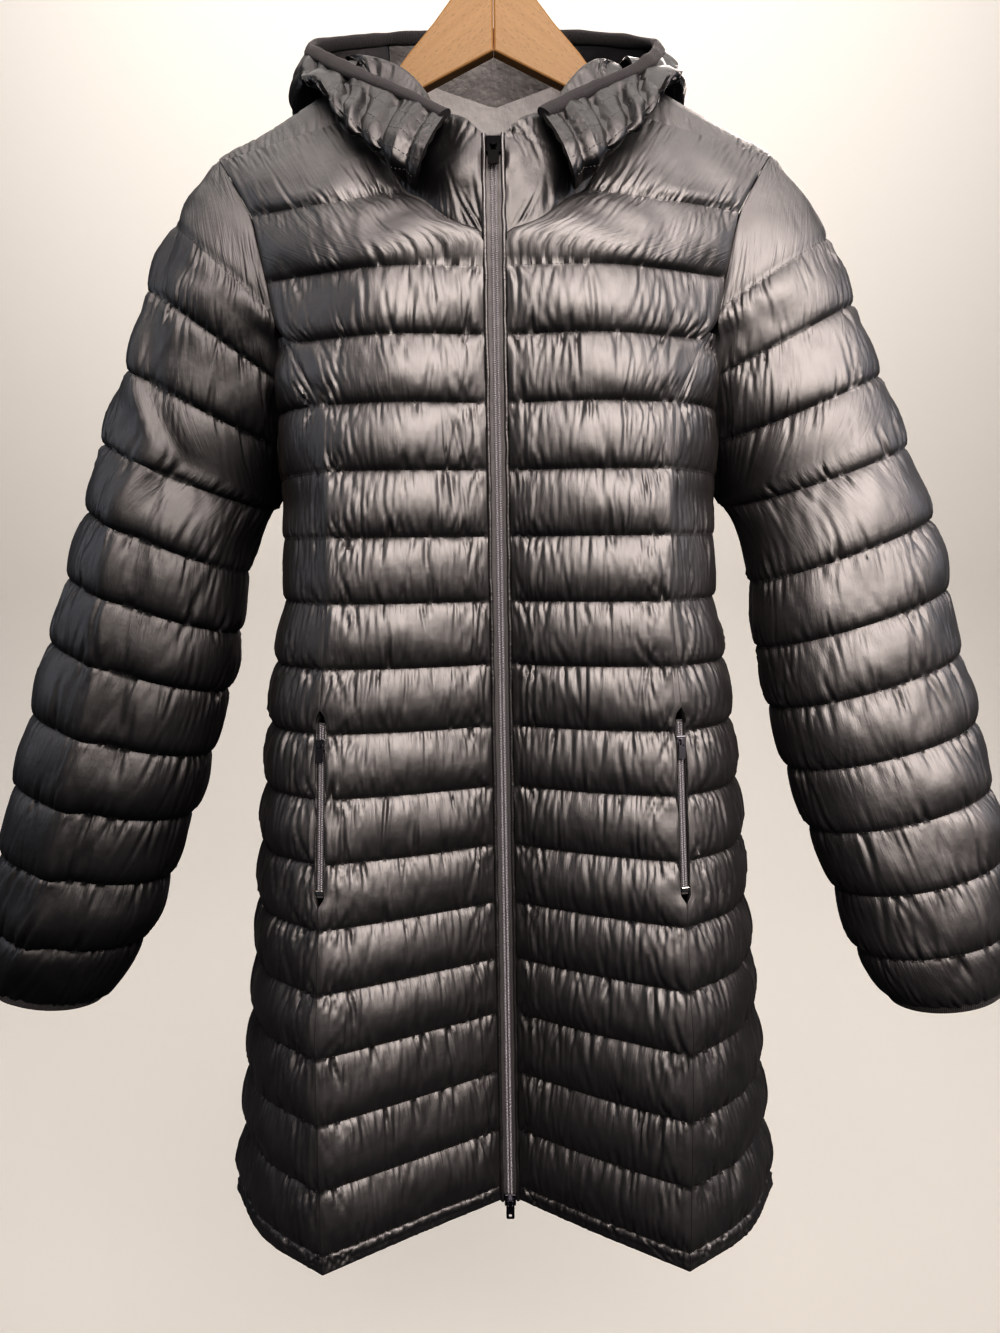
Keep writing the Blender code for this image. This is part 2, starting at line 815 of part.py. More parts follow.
def make_sleeve(name, side_name, patches):
    sleeve = Sleeve(side_name, patches)
    shares = np.linspace(0, 1, 13)
    body_lines = [*quilt_rows(0, 5), 0.25, HORN, HORN_TIP, ARMPIT]
    cap = np.interp(sorted(body_lines), CAP_ENDS, CAP_LINES)
    lines = np.array([*cap, *quilt_rows(4, 12)])
    points = sleeve.rows(shares, lines)
    cap_row = lines < SLEEVE_ARMPIT

    across, down = np.gradient(points, axis=1), np.gradient(points, axis=0)
    wrap = (points[~cap_row, 1] - points[~cap_row, -2]) / 2
    across[~cap_row, 0] = across[~cap_row, -1] = wrap
    normals = np.cross(across, down)
    normals /= np.maximum(np.linalg.norm(normals, axis=-1, keepdims=True), 1e-12)
    middle = points.mean(axis=1, keepdims=True)
    normals *= np.sign((normals * (points - middle)).sum())
    sewn = np.interp(lines[cap_row], CAP_LINES, CAP_ENDS)
    normals[cap_row, 0] = sleeve.armhole(sewn, False)[1]
    normals[cap_row, -1] = sleeve.armhole(sewn, True)[1]
    normals[0] = sleeve.shoulder_tip(shares)[1]
    for beside, end in ((1, 0), (-2, -1)):
        normals[cap_row, beside] = mitre(normals[cap_row, beside], normals[cap_row, end])

    fill = np.ones(points.shape[:2])
    fill[lines < 1] = 0.5
    fill[np.ix_(cap_row, [0, -1])] = SEAM_PUFF
    fill[np.ix_(cap_row, [1, -2])] = 0.7
    under_arm = np.interp(lines, (SLEEVE_ARMPIT - 1, SLEEVE_ARMPIT, SLEEVE_SETTLED, 6.5), (1, 0.2, 0.3, 1))
    fill[:, [0, 1, -2, -1]] *= under_arm[:, None]
    for end, beside in ((0, 1), (-1, -2)):
        along = points[:, beside] - points[:, end]
        along /= np.linalg.norm(along, axis=-1, keepdims=True)
        points[:, end] += along * np.select([lines < 0.5, cap_row], [5 * GAP, 3.5 * GAP], 0)[:, None]
    armpit = lines == SLEEVE_ARMPIT
    points[np.ix_(armpit, [0, -1])] += np.array([sleeve.side * ARMPIT_CLEAR, 0, 0])
    trim_rows(points, top=1.5 * GAP, bottom=GAP)
    points += normals * (SLEEVE_PUFF * fill * puff_share(lines)[:, None])[..., None]
    cloth(name, [(points, -normals)], WALL, "shell")
    return sleeve


def make_cuff_binding(name, sleeve):
    angle = np.linspace(0, 2 * math.pi, 24, endpoint=False)
    ring = sleeve.ring(angle, np.full(24, 12.0))
    before = sleeve.ring(angle, np.full(24, 11.9))
    down = (ring - before).mean(axis=0)
    down /= np.linalg.norm(down)
    path = ring + down * (BINDING_RADIUS + GAP) - radial(ring) * 0.0022
    tube(name, path, BINDING_RADIUS, "knit", cyclic=True)


def radial(ring):
    out = ring - ring.mean(axis=0)
    return out / np.linalg.norm(out, axis=-1, keepdims=True)


def tube(name, path, radius, material, cyclic=False, resolution=1):
    """A round cord or wire along a path, as a mesh with welded caps."""
    curve = bpy.data.curves.new(name, "CURVE")
    curve.dimensions = "3D"
    curve.bevel_depth = radius
    curve.bevel_resolution = resolution
    curve.use_fill_caps = True
    spline = curve.splines.new("POLY")
    spline.points.add(len(path) - 1)
    for point, place in zip(spline.points, path):
        point.co = (*place, 1.0)
    spline.use_cyclic_u = cyclic
    curve.materials.append(materials[material])
    obj = bpy.data.objects.new(name, curve)
    coat.objects.link(obj)
    return obj


# ---------------------------------------------------------------- collar and hood


def neck_seam(side, share):
    """The right or left half of the neck seam, from the zip (0) over the shoulder to the back (1)."""
    edge, centre = zip_edge(side), column(NECK_AND_BACK_CENTRE, side)
    front = edge(np.linspace(1.85, 0, 40))
    back = centre(np.linspace(-1, BACK_NECK_END, 40))
    path = np.vstack([front, back[1:]])
    length = np.r_[0, np.cumsum(np.linalg.norm(np.diff(path, axis=0), axis=1))]
    share = np.asarray(share, float) * length[-1]
    return np.stack([np.interp(share, length, path[:, k]) for k in range(3)], -1)


def collar_grid(side, shares):
    base = neck_seam(side, shares)
    inwards = np.stack([-base[:, 0], -0.02 - base[:, 1], np.zeros(len(base))], -1)
    inwards /= np.linalg.norm(inwards, axis=-1, keepdims=True)
    base = base + inwards * 0.0014 + np.array([0, 0, 0.0018])
    rows = np.array(COLLAR_TOP, float)
    top = hermite(rows[:, 0], rows[:, 1:], shares) * MM
    top[:, 0] = side * top[:, 0] + zip_centre(1.0) * np.clip(1 - shares / 0.2, 0, 1)
    rise = np.array([0.0, 0.34, 0.67, 1.0])
    points = base + (top - base) * rise[:, None, None]
    points = points - inwards * (np.sin(math.pi * rise) * 0.002)[:, None, None]
    return points, np.broadcast_to(inwards, points.shape)


def make_collar_front(name, side):
    points, inward = collar_grid(side, np.linspace(0.0, 0.6, 9))
    points[:, -1] += (points[:, -2] - points[:, -1]) * 0.03
    points[:, 0] += np.array([side * GAP, 0, 0])
    cloth(name, [(points, inward)], COLLAR_WALL, "shell")


def make_collar_back(name):
    layers = []
    for side in (-1, 1):
        points, inward = collar_grid(side, np.linspace(0.6, 1.0, 6))
        inward = inward.copy()
        inward[:, -1, 0] = 0.0
        layers.append((points, inward))
    cloth(name, layers, COLLAR_WALL, "shell")


def hood_column(name, side):
    points = np.array(HOOD_COLUMNS[name], float) * MM
    leaning = np.linspace(0, 1, len(points)) ** 0.7
    points[:, 0] = side * points[:, 0] + HOOD_LEAN.get(name, 0.0) * HOOD_LEAN_WIDTH * leaning
    keys = np.linspace(0, HOOD_CHANNELS, len(points))
    return lambda line: hermite(keys, points, line)


def hood_patch(names, side, outward):
    """One side of the hood or, with no names, its centre, from the left seam to the right one."""
    if names is None:
        columns = [hood_column("back_side", -1), hood_column("centre", 1), hood_column("back_side", 1)]
    else:
        columns = [hood_column(name, side) for name in names]
    return Patch(columns, (0, HOOD_CHANNELS), outward)


def hood_layer(patch, us, edge_normals, fades=(True, True)):
    lines = quilt_rows(0, HOOD_CHANNELS)
    return layer(patch, us, lines, HOOD_PUFF, edge_normals, (1.5 * GAP, 1.5 * GAP), fades)


def make_hood():
    """The hood's two sides and centre. Returns the middle of each piece's rim and where the rim faces."""
    us = {"side": np.linspace(0, 1, 11), "centre": np.linspace(0, 1, 5)}
    centre = hood_patch(None, 1, (0, 1, -0.5))
    sides = [hood_patch(HOOD_SIDE, side, (0.3 * side, -0.6, 0.8)) for side in (-1, 1)]
    meetings = [seam_mitre(sides[k], 1, centre, float(k), from_line=-1) for k in (0, 1)]
    left_side = hood_layer(sides[0], us["side"], (None, meetings[0]))
    right_side = hood_layer(sides[1], us["side"], (None, meetings[1]))
    middle = hood_layer(centre, us["centre"], tuple(meetings))
    rim = []
    for label, (points, inward), order in (
        ("hood_side_left", left_side, slice(None)),
        ("hood_centre", middle, slice(None)),
        ("hood_side_right", right_side, slice(None, None, -1)),
    ):
        cloth(label, [(points, inward)], HOOD_WALL, "shell")
        up = points[-1] - points[-2]
        along = np.gradient(points[-1], axis=0)
        for other in (inward[-1], along / np.linalg.norm(along, axis=-1, keepdims=True)):
            up -= other * (up * other).sum(-1, keepdims=True)
        up /= np.linalg.norm(up, axis=-1, keepdims=True)
        on_edge = points[-1] + inward[-1] * HOOD_WALL * 0.3
        rim.append((on_edge + up * (BINDING_RADIUS + BINDING_CLEAR))[order])
    return rim


def make_hood_binding(name, rim):
    """One cord over the three rims; where two pieces meet, it passes between their ends."""
    left_rim, middle, right_rim = rim
    path = [
        *left_rim[:-1],
        (left_rim[-1] + middle[0]) / 2,
        *middle[1:-1],
        (middle[-1] + right_rim[0]) / 2,
        *right_rim[1:],
    ]
    tube(name, path, BINDING_RADIUS, "knit")


# ---------------------------------------------------------------- zips


def zip_path(steps=30):
    """Centre of the main zip from the collar's top to the hem, on the panels' outer face."""
    neck_line, hem_line = 1.85, 17.97
    lines = np.linspace(neck_line, hem_line, steps)
    points = column(NECK_AND_ZIP_EDGE)(np.maximum(lines, 2.0))
    points[:, 0] = zip_centre(lines)
    points[:, 2] = line_height(lines)
    points[0] = (zip_centre(neck_line), -0.100, -0.295)
    top = np.array([zip_centre(1.0), -0.088, -0.2245])
    collar = top + (points[0] - top) * np.linspace(0, 1, 5)[:-1, None]
    return np.vstack([collar, points])


def strip(name, path, x_low, x_high, y_back, thickness, material):
    """A flat ribbon that follows a path, from x_low to x_high beside it."""
    xs = np.array([x_low, x_high])
    points = path[:, None, :] + np.stack([xs, np.full(2, y_back), np.zeros(2)], -1)[None]
    inward = np.broadcast_to(np.array([0.0, 1.0, 0.0]), points.shape)
    return cloth(name, [(points, inward)], thickness, material)


def make_main_zip():
    path = zip_path()
    strip("zip_tape_left", path, -ZIP_HALF + GAP, -CHAIN_HALF - GAP, -0.0012, TAPE_THICK, "zip")
    strip("zip_tape_right", path, CHAIN_HALF + GAP, ZIP_HALF - GAP, -0.0012, TAPE_THICK, "zip")
    strip("zip_chain", path, -CHAIN_HALF, CHAIN_HALF, -0.0006, CHAIN_THICK, "zip")
    proud = np.array([0, -0.0012, 0])
    for label, near, far, along, scale, pull_length, material in (
        ("zip_top", path[0], path[1], 0.5, 1.15, 0.015, "zip"),
        ("zip_bottom", path[-1], path[-2], 0.25, 1.0, 0.0165, "gunmetal"),
    ):
        upper, lower = (near, far) if near[2] > far[2] else (far, near)
        lean = -math.atan2(upper[1] - lower[1], upper[2] - lower[2])
        make_slider(label, near + (far - near) * along + proud, 0.0, lean, scale, pull_length, material)


def make_pocket_zip(label, side):
    """A pocket zip in the princess seam, facing the way that the seam's ridge does."""
    lines = np.linspace(POCKET_TOP + 0.32, POCKET_END - 0.14, 8)
    patches = body_patches(side)
    facing = seam_mitre(patches["front"], 1, patches["side_front"], 0)(lines)
    facing[:, 2] = 0.0
    facing /= np.linalg.norm(facing, axis=-1, keepdims=True)
    across = np.stack([-facing[:, 1], facing[:, 0], np.zeros(len(lines))], -1)
    middle = column(FRONT_SEAM, side)(lines) - facing * 0.0012
    half = POCKET_HALF - 3 * GAP
    points = middle[:, None] + across[:, None] * np.array([-half, half])[:, None]
    inward = np.broadcast_to(-facing[:, None], points.shape)
    cloth(f"pocket_zip_{label}", [(points, inward)], CHAIN_THICK, "zip")
    yaw = math.atan2(facing[1, 0], -facing[1, 1])
    drop = middle[1] - middle[0]
    lean = -math.atan2(float(drop @ facing[0]), -drop[2])
    top = middle[0] + drop * 0.37 + facing[0] * GAP
    make_slider(f"pocket_{label}", top, yaw, lean, 0.75, 0.0125, "gunmetal")
    low = middle[-1] + facing[-1] * (GAP + 0.0009) + np.array([0, 0, 0.003])
    stop = block(f"pocket_stop_{label}", (0.0056, 0.0016, 0.0032), low, "nickel", bevel=0.0004)
    stop.rotation_euler.z = math.atan2(facing[-1, 0], -facing[-1, 1])


def block(name, size, place, material, bevel=0.0):
    """A box with rounded edges; its mesh carries its size, so that the bevel stays even."""
    bpy.ops.mesh.primitive_cube_add(size=1.0)
    obj = bpy.context.object
    obj.name = obj.data.name = name
    obj.data.transform(Matrix.Diagonal((*size, 1.0)))
    obj.location = place
    for old in list(obj.users_collection):
        old.objects.unlink(obj)
    coat.objects.link(obj)
    obj.data.materials.append(materials[material])
    if bevel:
        rounding = obj.modifiers.new("rounding", "BEVEL")
        rounding.width = bevel
        rounding.segments = 2
    return obj


def flat_outline(name, loops, half_thick, material):
    """A plate cut from flat outlines: the first is its edge and the others are holes."""
    curve = bpy.data.curves.new(name, "CURVE")
    curve.dimensions = "2D"
    curve.fill_mode = "BOTH"
    curve.extrude = half_thick
    for loop in loops:
        spline = curve.splines.new("POLY")
        spline.points.add(len(loop) - 1)
        for point, (x, y) in zip(spline.points, loop):
            point.co = (x, y, 0.0, 1.0)
        spline.use_cyclic_u = True
    curve.materials.append(materials[material])
    obj = bpy.data.objects.new(name, curve)
    coat.objects.link(obj)
    return obj


def rounded_bar(half_width, top, bottom, corner, steps=3):
    """Outline of an upright bar with rounded corners."""
    centres = (
        (half_width - corner, top - corner, 0),
        (-half_width + corner, top - corner, 90),
        (-half_width + corner, bottom + corner, 180),
        (half_width - corner, bottom + corner, 270),
    )
    outline = []
    for x, y, start in centres:
        for k in range(steps + 1):
            angle = math.radians(start + 90 * k / steps)
            outline.append((x + corner * math.cos(angle), y + corner * math.sin(angle)))
    return outline


def make_slider(label, place, yaw, lean, scale, pull_length, material):
    """A slider on its zip, with a bridge, and the pull tab that hangs from the bridge.

    Both lean with the zip. The pull's origin is on the hinge's axis, the middle of the bridge's tunnel.
    """
    plate = np.array([0.0092, 0.0020, 0.0105]) * scale
    tunnel, bridge = 0.0013 * scale, 0.0010 * scale
    bridge_half = 0.0014 * scale
    turn = Matrix.Rotation(yaw, 4, "Z") @ Matrix.Rotation(lean, 4, "X")
    place = Vector(place)

    def at(y, z):
        return place + turn @ Vector((0, y, z))

    front = -GAP - plate[1]
    body = block(f"{label}_slider", plate, at(-GAP - plate[1] / 2, 0), material, bevel=0.0005 * scale)
    body.rotation_euler = (lean, 0, yaw)
    reach = 2 * tunnel + bridge
    sunk = 0.0002
    foot = (2 * bridge_half, reach + 2 * sunk, 1.2 * bridge)
    crown = (2 * bridge_half, bridge, 2 * tunnel + 2.4 * bridge)
    arch = (
        (foot, sunk - reach / 2, tunnel + 0.6 * bridge),
        (foot, sunk - reach / 2, -tunnel - 0.6 * bridge),
        (crown, bridge / 2 - reach, 0.0),
    )
    for k, (size, y, z) in enumerate(arch):
        cutter = block(f"{label}_bridge_{k}", size, at(front + y, z), material)
        cutter.rotation_euler = (lean, 0, yaw)
        cutter.hide_render = True
        cutter.display_type = "WIRE"
        coat.objects.unlink(cutter)
        helpers.objects.link(cutter)
        join = body.modifiers.new(f"bridge_{k}", "BOOLEAN")
        join.operation = "UNION"
        join.object = cutter
    bar = 0.0010 * scale
    ring_half = bridge_half + 0.0007 * scale
    slot = rounded_bar(ring_half, -bar / 2, -bar / 2 - 0.0040 * scale, 0.0003 * scale, 2)
    outline = rounded_bar(ring_half + 0.0012 * scale, bar / 2, -pull_length, 0.0012 * scale)
    hole_low = -pull_length + 0.0013 * scale
    hole = rounded_bar(ring_half * 0.62, hole_low + 0.0034 * scale, hole_low, 0.0009 * scale, 2)
    loops = [outline, slot] + ([hole] if pull_length > 0.016 else [])
    pull = flat_outline(f"{label}_pull", loops, 0.0005 * scale, material)
    pull.location = at(front - tunnel, 0)
    pull.rotation_euler = (math.radians(90) + lean, 0, yaw)


# ---------------------------------------------------------------- hanger


def make_hanger():
    gap = GAP / MM / 2
    for label, side in (("left", -1), ("right", 1)):
        outline = [(max(x, gap) * side * MM, z * MM) for x, z in ARM_TOP + ARM_BOTTOM]
        arm = flat_outline(f"hanger_arm_{label}", [outline], ARM_THICK / 2 - 0.0015, "beech")
        arm.data.bevel_depth = 0.0015
        arm.data.bevel_resolution = 1
        arm.data.offset = -0.0015
        arm.rotation_euler.x = math.radians(90)
    neck_top = ARM_TOP[0][1] * MM
    ferrule_height = 0.004
    ferrule_middle = neck_top + GAP + ferrule_height / 2
    bpy.ops.mesh.primitive_cylinder_add(
        vertices=20, radius=0.0055, depth=ferrule_height, location=(0, 0, ferrule_middle)
    )
    ferrule = bpy.context.object
    ferrule.name = ferrule.data.name = "hanger_ferrule"
    for old in list(ferrule.users_collection):
        old.objects.unlink(ferrule)
    coat.objects.link(ferrule)
    ferrule.data.materials.append(materials["steel"])
    stem_low = neck_top + 2 * GAP + ferrule_height
    middle = HOOK_WIRE - (HOOK_RADIUS + HOOK_WIRE)
    bend = HOOK_RADIUS + HOOK_WIRE
    low = middle - bend
    arc = [
        (bend * math.sin(math.radians(a)), 0, middle + bend * math.cos(math.radians(a)))
        for a in range(-115, 181, 12)
    ]
    stem = [(0, 0, low), (0, 0, (low + stem_low) / 2), (0, 0, stem_low)]
    tube("hanger_hook", arc + stem[1:], HOOK_WIRE, "steel", resolution=2)


# ---------------------------------------------------------------- the whole coat


def make_materials():
    made = {}
    for name, (red, green, blue, roughness, metallic) in COLOURS.items():
        material = bpy.data.materials.new(name)
        material.use_nodes = True
        surface = material.node_tree.nodes["Principled BSDF"]
        surface.inputs["Base Color"].default_value = (red, green, blue, 1.0)
        surface.inputs["Roughness"].default_value = roughness
        surface.inputs["Metallic"].default_value = metallic
        made[name] = material
    return made


for old_object in list(bpy.data.objects):
    bpy.data.objects.remove(old_object)
coat = bpy.data.collections.new("puffer_coat")
helpers = bpy.data.collections.new("cutters")
bpy.context.scene.collection.children.link(coat)
bpy.context.scene.collection.children.link(helpers)
materials = make_materials()

left, right = body_patches(-1), body_patches(1)
make_front("front_left", left)
make_front("front_right", right)
make_side("side_left", left)
make_side("side_right", right)
make_back("back", (left, right))
for side_name, word, half in (("L", "left", left), ("R", "right", right)):
    made_sleeve = make_sleeve(f"sleeve_{word}", side_name, half)
    make_cuff_binding(f"cuff_binding_{word}", made_sleeve)
    make_collar_front(f"collar_front_{word}", made_sleeve.side)
    make_pocket_zip(word, made_sleeve.side)
make_collar_back("collar_back")
make_hood_binding("hood_binding", make_hood())
make_main_zip()
make_hanger()
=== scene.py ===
"""The look of a long hooded puffer coat, zipped shut, that hangs on a plain wooden hanger.

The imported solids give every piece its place. This script swells the quilted panels with a cloth
simulation, puckers them along their stitching, sews the thread, folds the knitted bindings over their
edges, makes the zips' coils and gives each piece its finish. Lengths are in metres: +X to the
viewer's right as the coat is faced, +Y to its back, +Z up, from the point where the hanger hangs.

Cloth is laid out from columns: curves that run down the coat. Heights along them are counted in stitch
lines, from line 0 at the tip of the shoulder to line 18 at the hem's edge.
"""

import logging
import math
from collections.abc import Callable, Sequence
from dataclasses import dataclass, field, fields, replace
from enum import Enum

import bmesh
import bpy
import numpy as np
from mathutils import Matrix, Vector


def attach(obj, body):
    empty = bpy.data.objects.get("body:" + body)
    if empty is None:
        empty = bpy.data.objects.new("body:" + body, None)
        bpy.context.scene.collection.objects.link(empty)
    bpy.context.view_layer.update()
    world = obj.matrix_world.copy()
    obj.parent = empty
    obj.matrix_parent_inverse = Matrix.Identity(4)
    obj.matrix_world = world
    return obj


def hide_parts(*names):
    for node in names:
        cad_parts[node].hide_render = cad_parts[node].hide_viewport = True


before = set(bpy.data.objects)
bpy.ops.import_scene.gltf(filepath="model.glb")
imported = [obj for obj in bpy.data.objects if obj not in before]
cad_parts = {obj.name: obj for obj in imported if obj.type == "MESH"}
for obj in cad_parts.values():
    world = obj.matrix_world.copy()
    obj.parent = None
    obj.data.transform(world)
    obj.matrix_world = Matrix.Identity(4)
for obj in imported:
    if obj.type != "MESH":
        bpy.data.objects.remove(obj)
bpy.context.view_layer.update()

log = logging.getLogger("coat")

MM = 0.001
ROOT = "coat_on_hanger"
# Rows this near a stitch line, in lines, lie on it
ON_LINE = 1e-6
Curve = Callable[[np.ndarray], np.ndarray]

# Stitch lines of the body: height of a line below the hook
LINES = (-1, 0, 1, 2, 14, 17, 18)
LINE_HEIGHTS = (-0.214, -0.214, -0.264, -0.3145, -0.8749, -1.0279, -1.0419)

# Columns of the right half in millimetres: line, x, y and, where it isn't 0, how far the point lies
# above its line's level
NECK_AND_ZIP_EDGE = (
    (0, 100, -34, 24), (0.5, 84, -51, 20), (1, 66, -70, 8), (1.35, 50, -83, 14), (1.65, 30, -96, 12),
    (1.85, 8, -100, 12), (2, 8, -100), (4, 8, -101), (6, 8, -100), (9, 8, -94), (12, 8, -87), (15, 8, -80),
    (18, 8, -75),
)
MID_FRONT = (
    (0, 159, -27, 10), (0.5, 138, -52, 2), (1, 117, -75), (1.5, 101, -89), (2, 84, -99), (3, 78, -107),
    (4, 70, -112), (5, 66, -114), (7, 66, -115), (9, 70, -114), (12, 71, -117), (15, 72, -118),
    (18, 72, -115),
)
FRONT_SEAM = (
    (0, 211, -14), (0.5, 196, -31, 2), (1, 181, -46), (1.5, 173, -55), (2, 168, -60), (2.7, 160, -66),
    (3, 150, -76), (3.5, 137, -88), (4, 127, -97), (5, 123, -106), (6, 122, -112), (7, 122, -116),
    (8, 126, -119), (9, 129, -122), (10, 130, -128), (11, 131, -134), (12, 132, -141), (13, 134, -146),
    (14, 136, -150), (16, 136, -153), (18, 136, -155),
)
ARMHOLE_LOW_FRONT = (
    (2.7, 160, -66), (3, 163, -59), (3.5, 164, -53), (4, 166, -46), (4.5, 169, -37), (5, 172, -23, -2),
)
ARMHOLE_LOW_BACK = (
    (2.7, 165, 32), (3, 166, 31), (3.5, 167, 29), (4, 169, 25), (4.5, 171, 18), (5, 173, 8, -2),
)
HORN = 2.7
SIDE_TOP = 2.875
ARMPIT = 5.4
SIDE_LINE = (
    (ARMPIT, 174, -6, -3), (6, 171, -22), (7, 167, -40), (8, 172, -50), (9, 177, -56), (10, 182, -59),
    (11, 187, -60), (12, 191, -60), (13, 196, -60), (14, 201, -60), (15, 207, -60), (16, 212, -60),
    (17, 219, -60), (18, 224, -60),
)
BACK_SEAM = (
    (-1, 211, -14), (-0.5, 215, 0, 5), (0, 211, 13, -2), (0.5, 199, 22), (1, 186, 27), (1.5, 177, 30),
    (2, 171, 31), (2.7, 165, 32), (3, 156, 33), (3.5, 143, 34), (4, 131, 35), (5, 124, 36), (7, 120, 36),
    (9, 124, 38), (12, 126, 42), (15, 128, 46), (18, 130, 50),
)
BACK_BLADE = (
    (-1, 159, -27, 10), (-0.5, 160, -3, 30), (0, 146, 20, 22), (0.5, 128, 27, 4), (1, 115, 31), (2, 90, 33),
    (3, 80, 34), (5, 66, 36), (9, 66, 39), (12, 66, 43), (15, 67, 48), (18, 68, 52),
)
NECK_AND_BACK_CENTRE = (
    (-1, 100, -34, 24), (-0.5, 98, -7, 66), (0, 80, 16, 48), (0.25, 52, 28, 34), (0.55, 0, 33, 37),
    (1, 0, 35), (2, 0, 36), (5, 0, 38), (9, 0, 41), (12, 0, 45), (18, 0, 54),
)
BACK_NECK_END = 0.55
PIECE_GAP = 0.0003
SEAM_GAP = PIECE_GAP / 2
POCKET_TOP, POCKET_END, POCKET_HALF = 8.7, 11.6, 0.0042
# How far a seam holds the cloth down, and what it leaves of the swell where it is sewn
SEAM_REACH = 0.018
AT_SEAM = 0.42

# Rings of the sleeves at their stitch lines, millimetres and degrees. The cuff is line 12.
# line, x, y, z, half width, half depth, tilt
SLEEVE_RINGS = {
    -1: (
        (1, 211, -18, -294, 45, 42, 43), (2, 221, -22, -344, 50, 48, 37), (3, 234, -28, -402, 56, 51, 33),
        (4, 247, -38, -456, 60, 53, 28), (5, 254, -47, -503, 62, 52, 23), (6, 265, -56, -550, 65, 51, 20),
        (7, 276, -64, -596, 66, 50, 18), (8, 289, -73, -646, 66, 49, 15.5), (9, 303, -82, -695, 64, 47, 13),
        (10, 316, -90, -743, 61, 45, 11), (11, 330, -98, -793, 54, 41, 9), (12, 346, -103, -838, 40, 29, 9),
    ),
    1: (
        (1, 215, -18, -306, 48, 43, 36), (2, 225, -22, -358, 56, 49, 32), (3, 239, -28, -411, 61, 52, 28),
        (4, 253, -38, -463, 64, 53, 24), (5, 263, -47, -515, 70, 52, 20), (6, 271, -56, -566, 73, 51, 18),
        (7, 280, -64, -613, 72, 50, 17), (8, 291, -73, -661, 70, 49, 15.5), (9, 304, -82, -708, 67, 47, 15),
        (10, 318, -90, -756, 62, 45, 14), (11, 329, -98, -805, 56, 41, 12),
        (12, 338, -103, -846, 42, 31, 9),
    ),
}
SLEEVE_ARMPIT = 3.6
SLEEVE_SETTLED = 5.0
CAP_LINES = (0, 1, 2, 3, SLEEVE_ARMPIT)
CAP_ENDS = (0, 2.5, 3.5, 4.5, ARMPIT)
CAP_OPENING = (2.0, 1.25, 0.85, 0.45, 0.0)

# Stand collar, right half: share of the neck seam from the zip to the back, and its top edge
# share, x, y, z
COLLAR_TOP = (
    (0.0, 8, -88, -223), (0.07, 20, -81, -211), (0.17, 33, -70, -203), (0.24, 43, -61, -196),
    (0.37, 52, -38, -175), (0.47, 70, -25, -152), (0.54, 83, -14, -143), (0.60, 93, -3, -141),
    (0.68, 91, 9, -139), (0.76, 78, 18, -137), (0.87, 43, 28, -147), (1.0, 0, 31, -160),
)

# Hood, right half: rows from the neck seam through the bottom of its pouch to the bound rim
HOOD_COLUMNS = {
    "front": (
        (56, -85.5, -261), (55, -97, -258), (52, -102, -250), (48, -102, -240), (44, -97, -230),
        (39, -90, -219), (34, -82, -209),
    ),
    "collar": (
        (75, -72, -240), (81, -83, -237), (85, -87, -229), (84, -84, -218), (78, -77, -207),
        (71, -69, -197), (63, -61, -187),
    ),
    "shoulder": (
        (105, -47, -192), (115, -57, -195), (120, -56, -190), (120, -52, -181), (114, -44, -173),
        (110, -41, -168), (105, -37, -161),
    ),
    "side": (
        (100.6, -8, -141), (119, -8, -148), (136, -7, -153), (147, -1, -154), (150, 5, -148),
        (143, 3, -141), (130, -4, -135),
    ),
    "corner": (
        (83.5, 17.5, -159), (108, 42, -188), (130, 54, -203), (150, 62, -188), (156, 60, -160),
        (150, 54, -130), (138, 46, -106),
    ),
    "back_side": (
        (45.5, 32.3, -190), (56, 56, -238), (64, 68, -282), (72, 96, -284), (78, 116, -222),
        (80, 110, -146), (80, 90, -80),
    ),
    "centre": (
        (0, 34.2, -198), (0, 60, -244), (0, 70, -296), (0, 102, -298), (0, 124, -228), (0, 117, -148),
        (0, 100, -74),
    ),
}
HOOD_LEAN = {"side": 0.3, "corner": 0.9, "back_side": 1.0, "centre": 1.0}
HOOD_LEAN_WIDTH = -0.011
HOOD_SIDE = ("front", "collar", "shoulder", "side", "corner", "back_side")
HOOD_CHANNELS = 5


# ---------------------------------------------------------------- curves and patches


def step_at(keys: np.ndarray, at: np.ndarray) -> np.ndarray:
    """Which step between keys each position falls in."""
    return np.clip(np.searchsorted(keys, at, side="right") - 1, 0, len(keys) - 2)


def even_tangents(slopes: np.ndarray) -> np.ndarray:
    """A slope at each key: the mean of the steps beside it."""
    return np.concatenate([slopes[:1], (slopes[:-1] + slopes[1:]) / 2, slopes[-1:]])


def cubic(t: np.ndarray, step: np.ndarray, values: tuple, tangents: tuple) -> np.ndarray:
    """The cubic at t, 0 to 1 along a step, from the values and tangents at its two ends."""
    return (
        values[0] * (1 + 2 * t) * (1 - t) ** 2
        + tangents[0] * step * t * (1 - t) ** 2
        + values[1] * t**2 * (3 - 2 * t)
        + tangents[1] * step * t**2 * (t - 1)
    )


def sampled(at: np.ndarray, keys: np.ndarray, points: np.ndarray) -> np.ndarray:
    """Points between given ones, by straight lines. keys are the given ones' positions."""
    return np.stack([np.interp(at, keys, points[:, k]) for k in range(3)], -1)


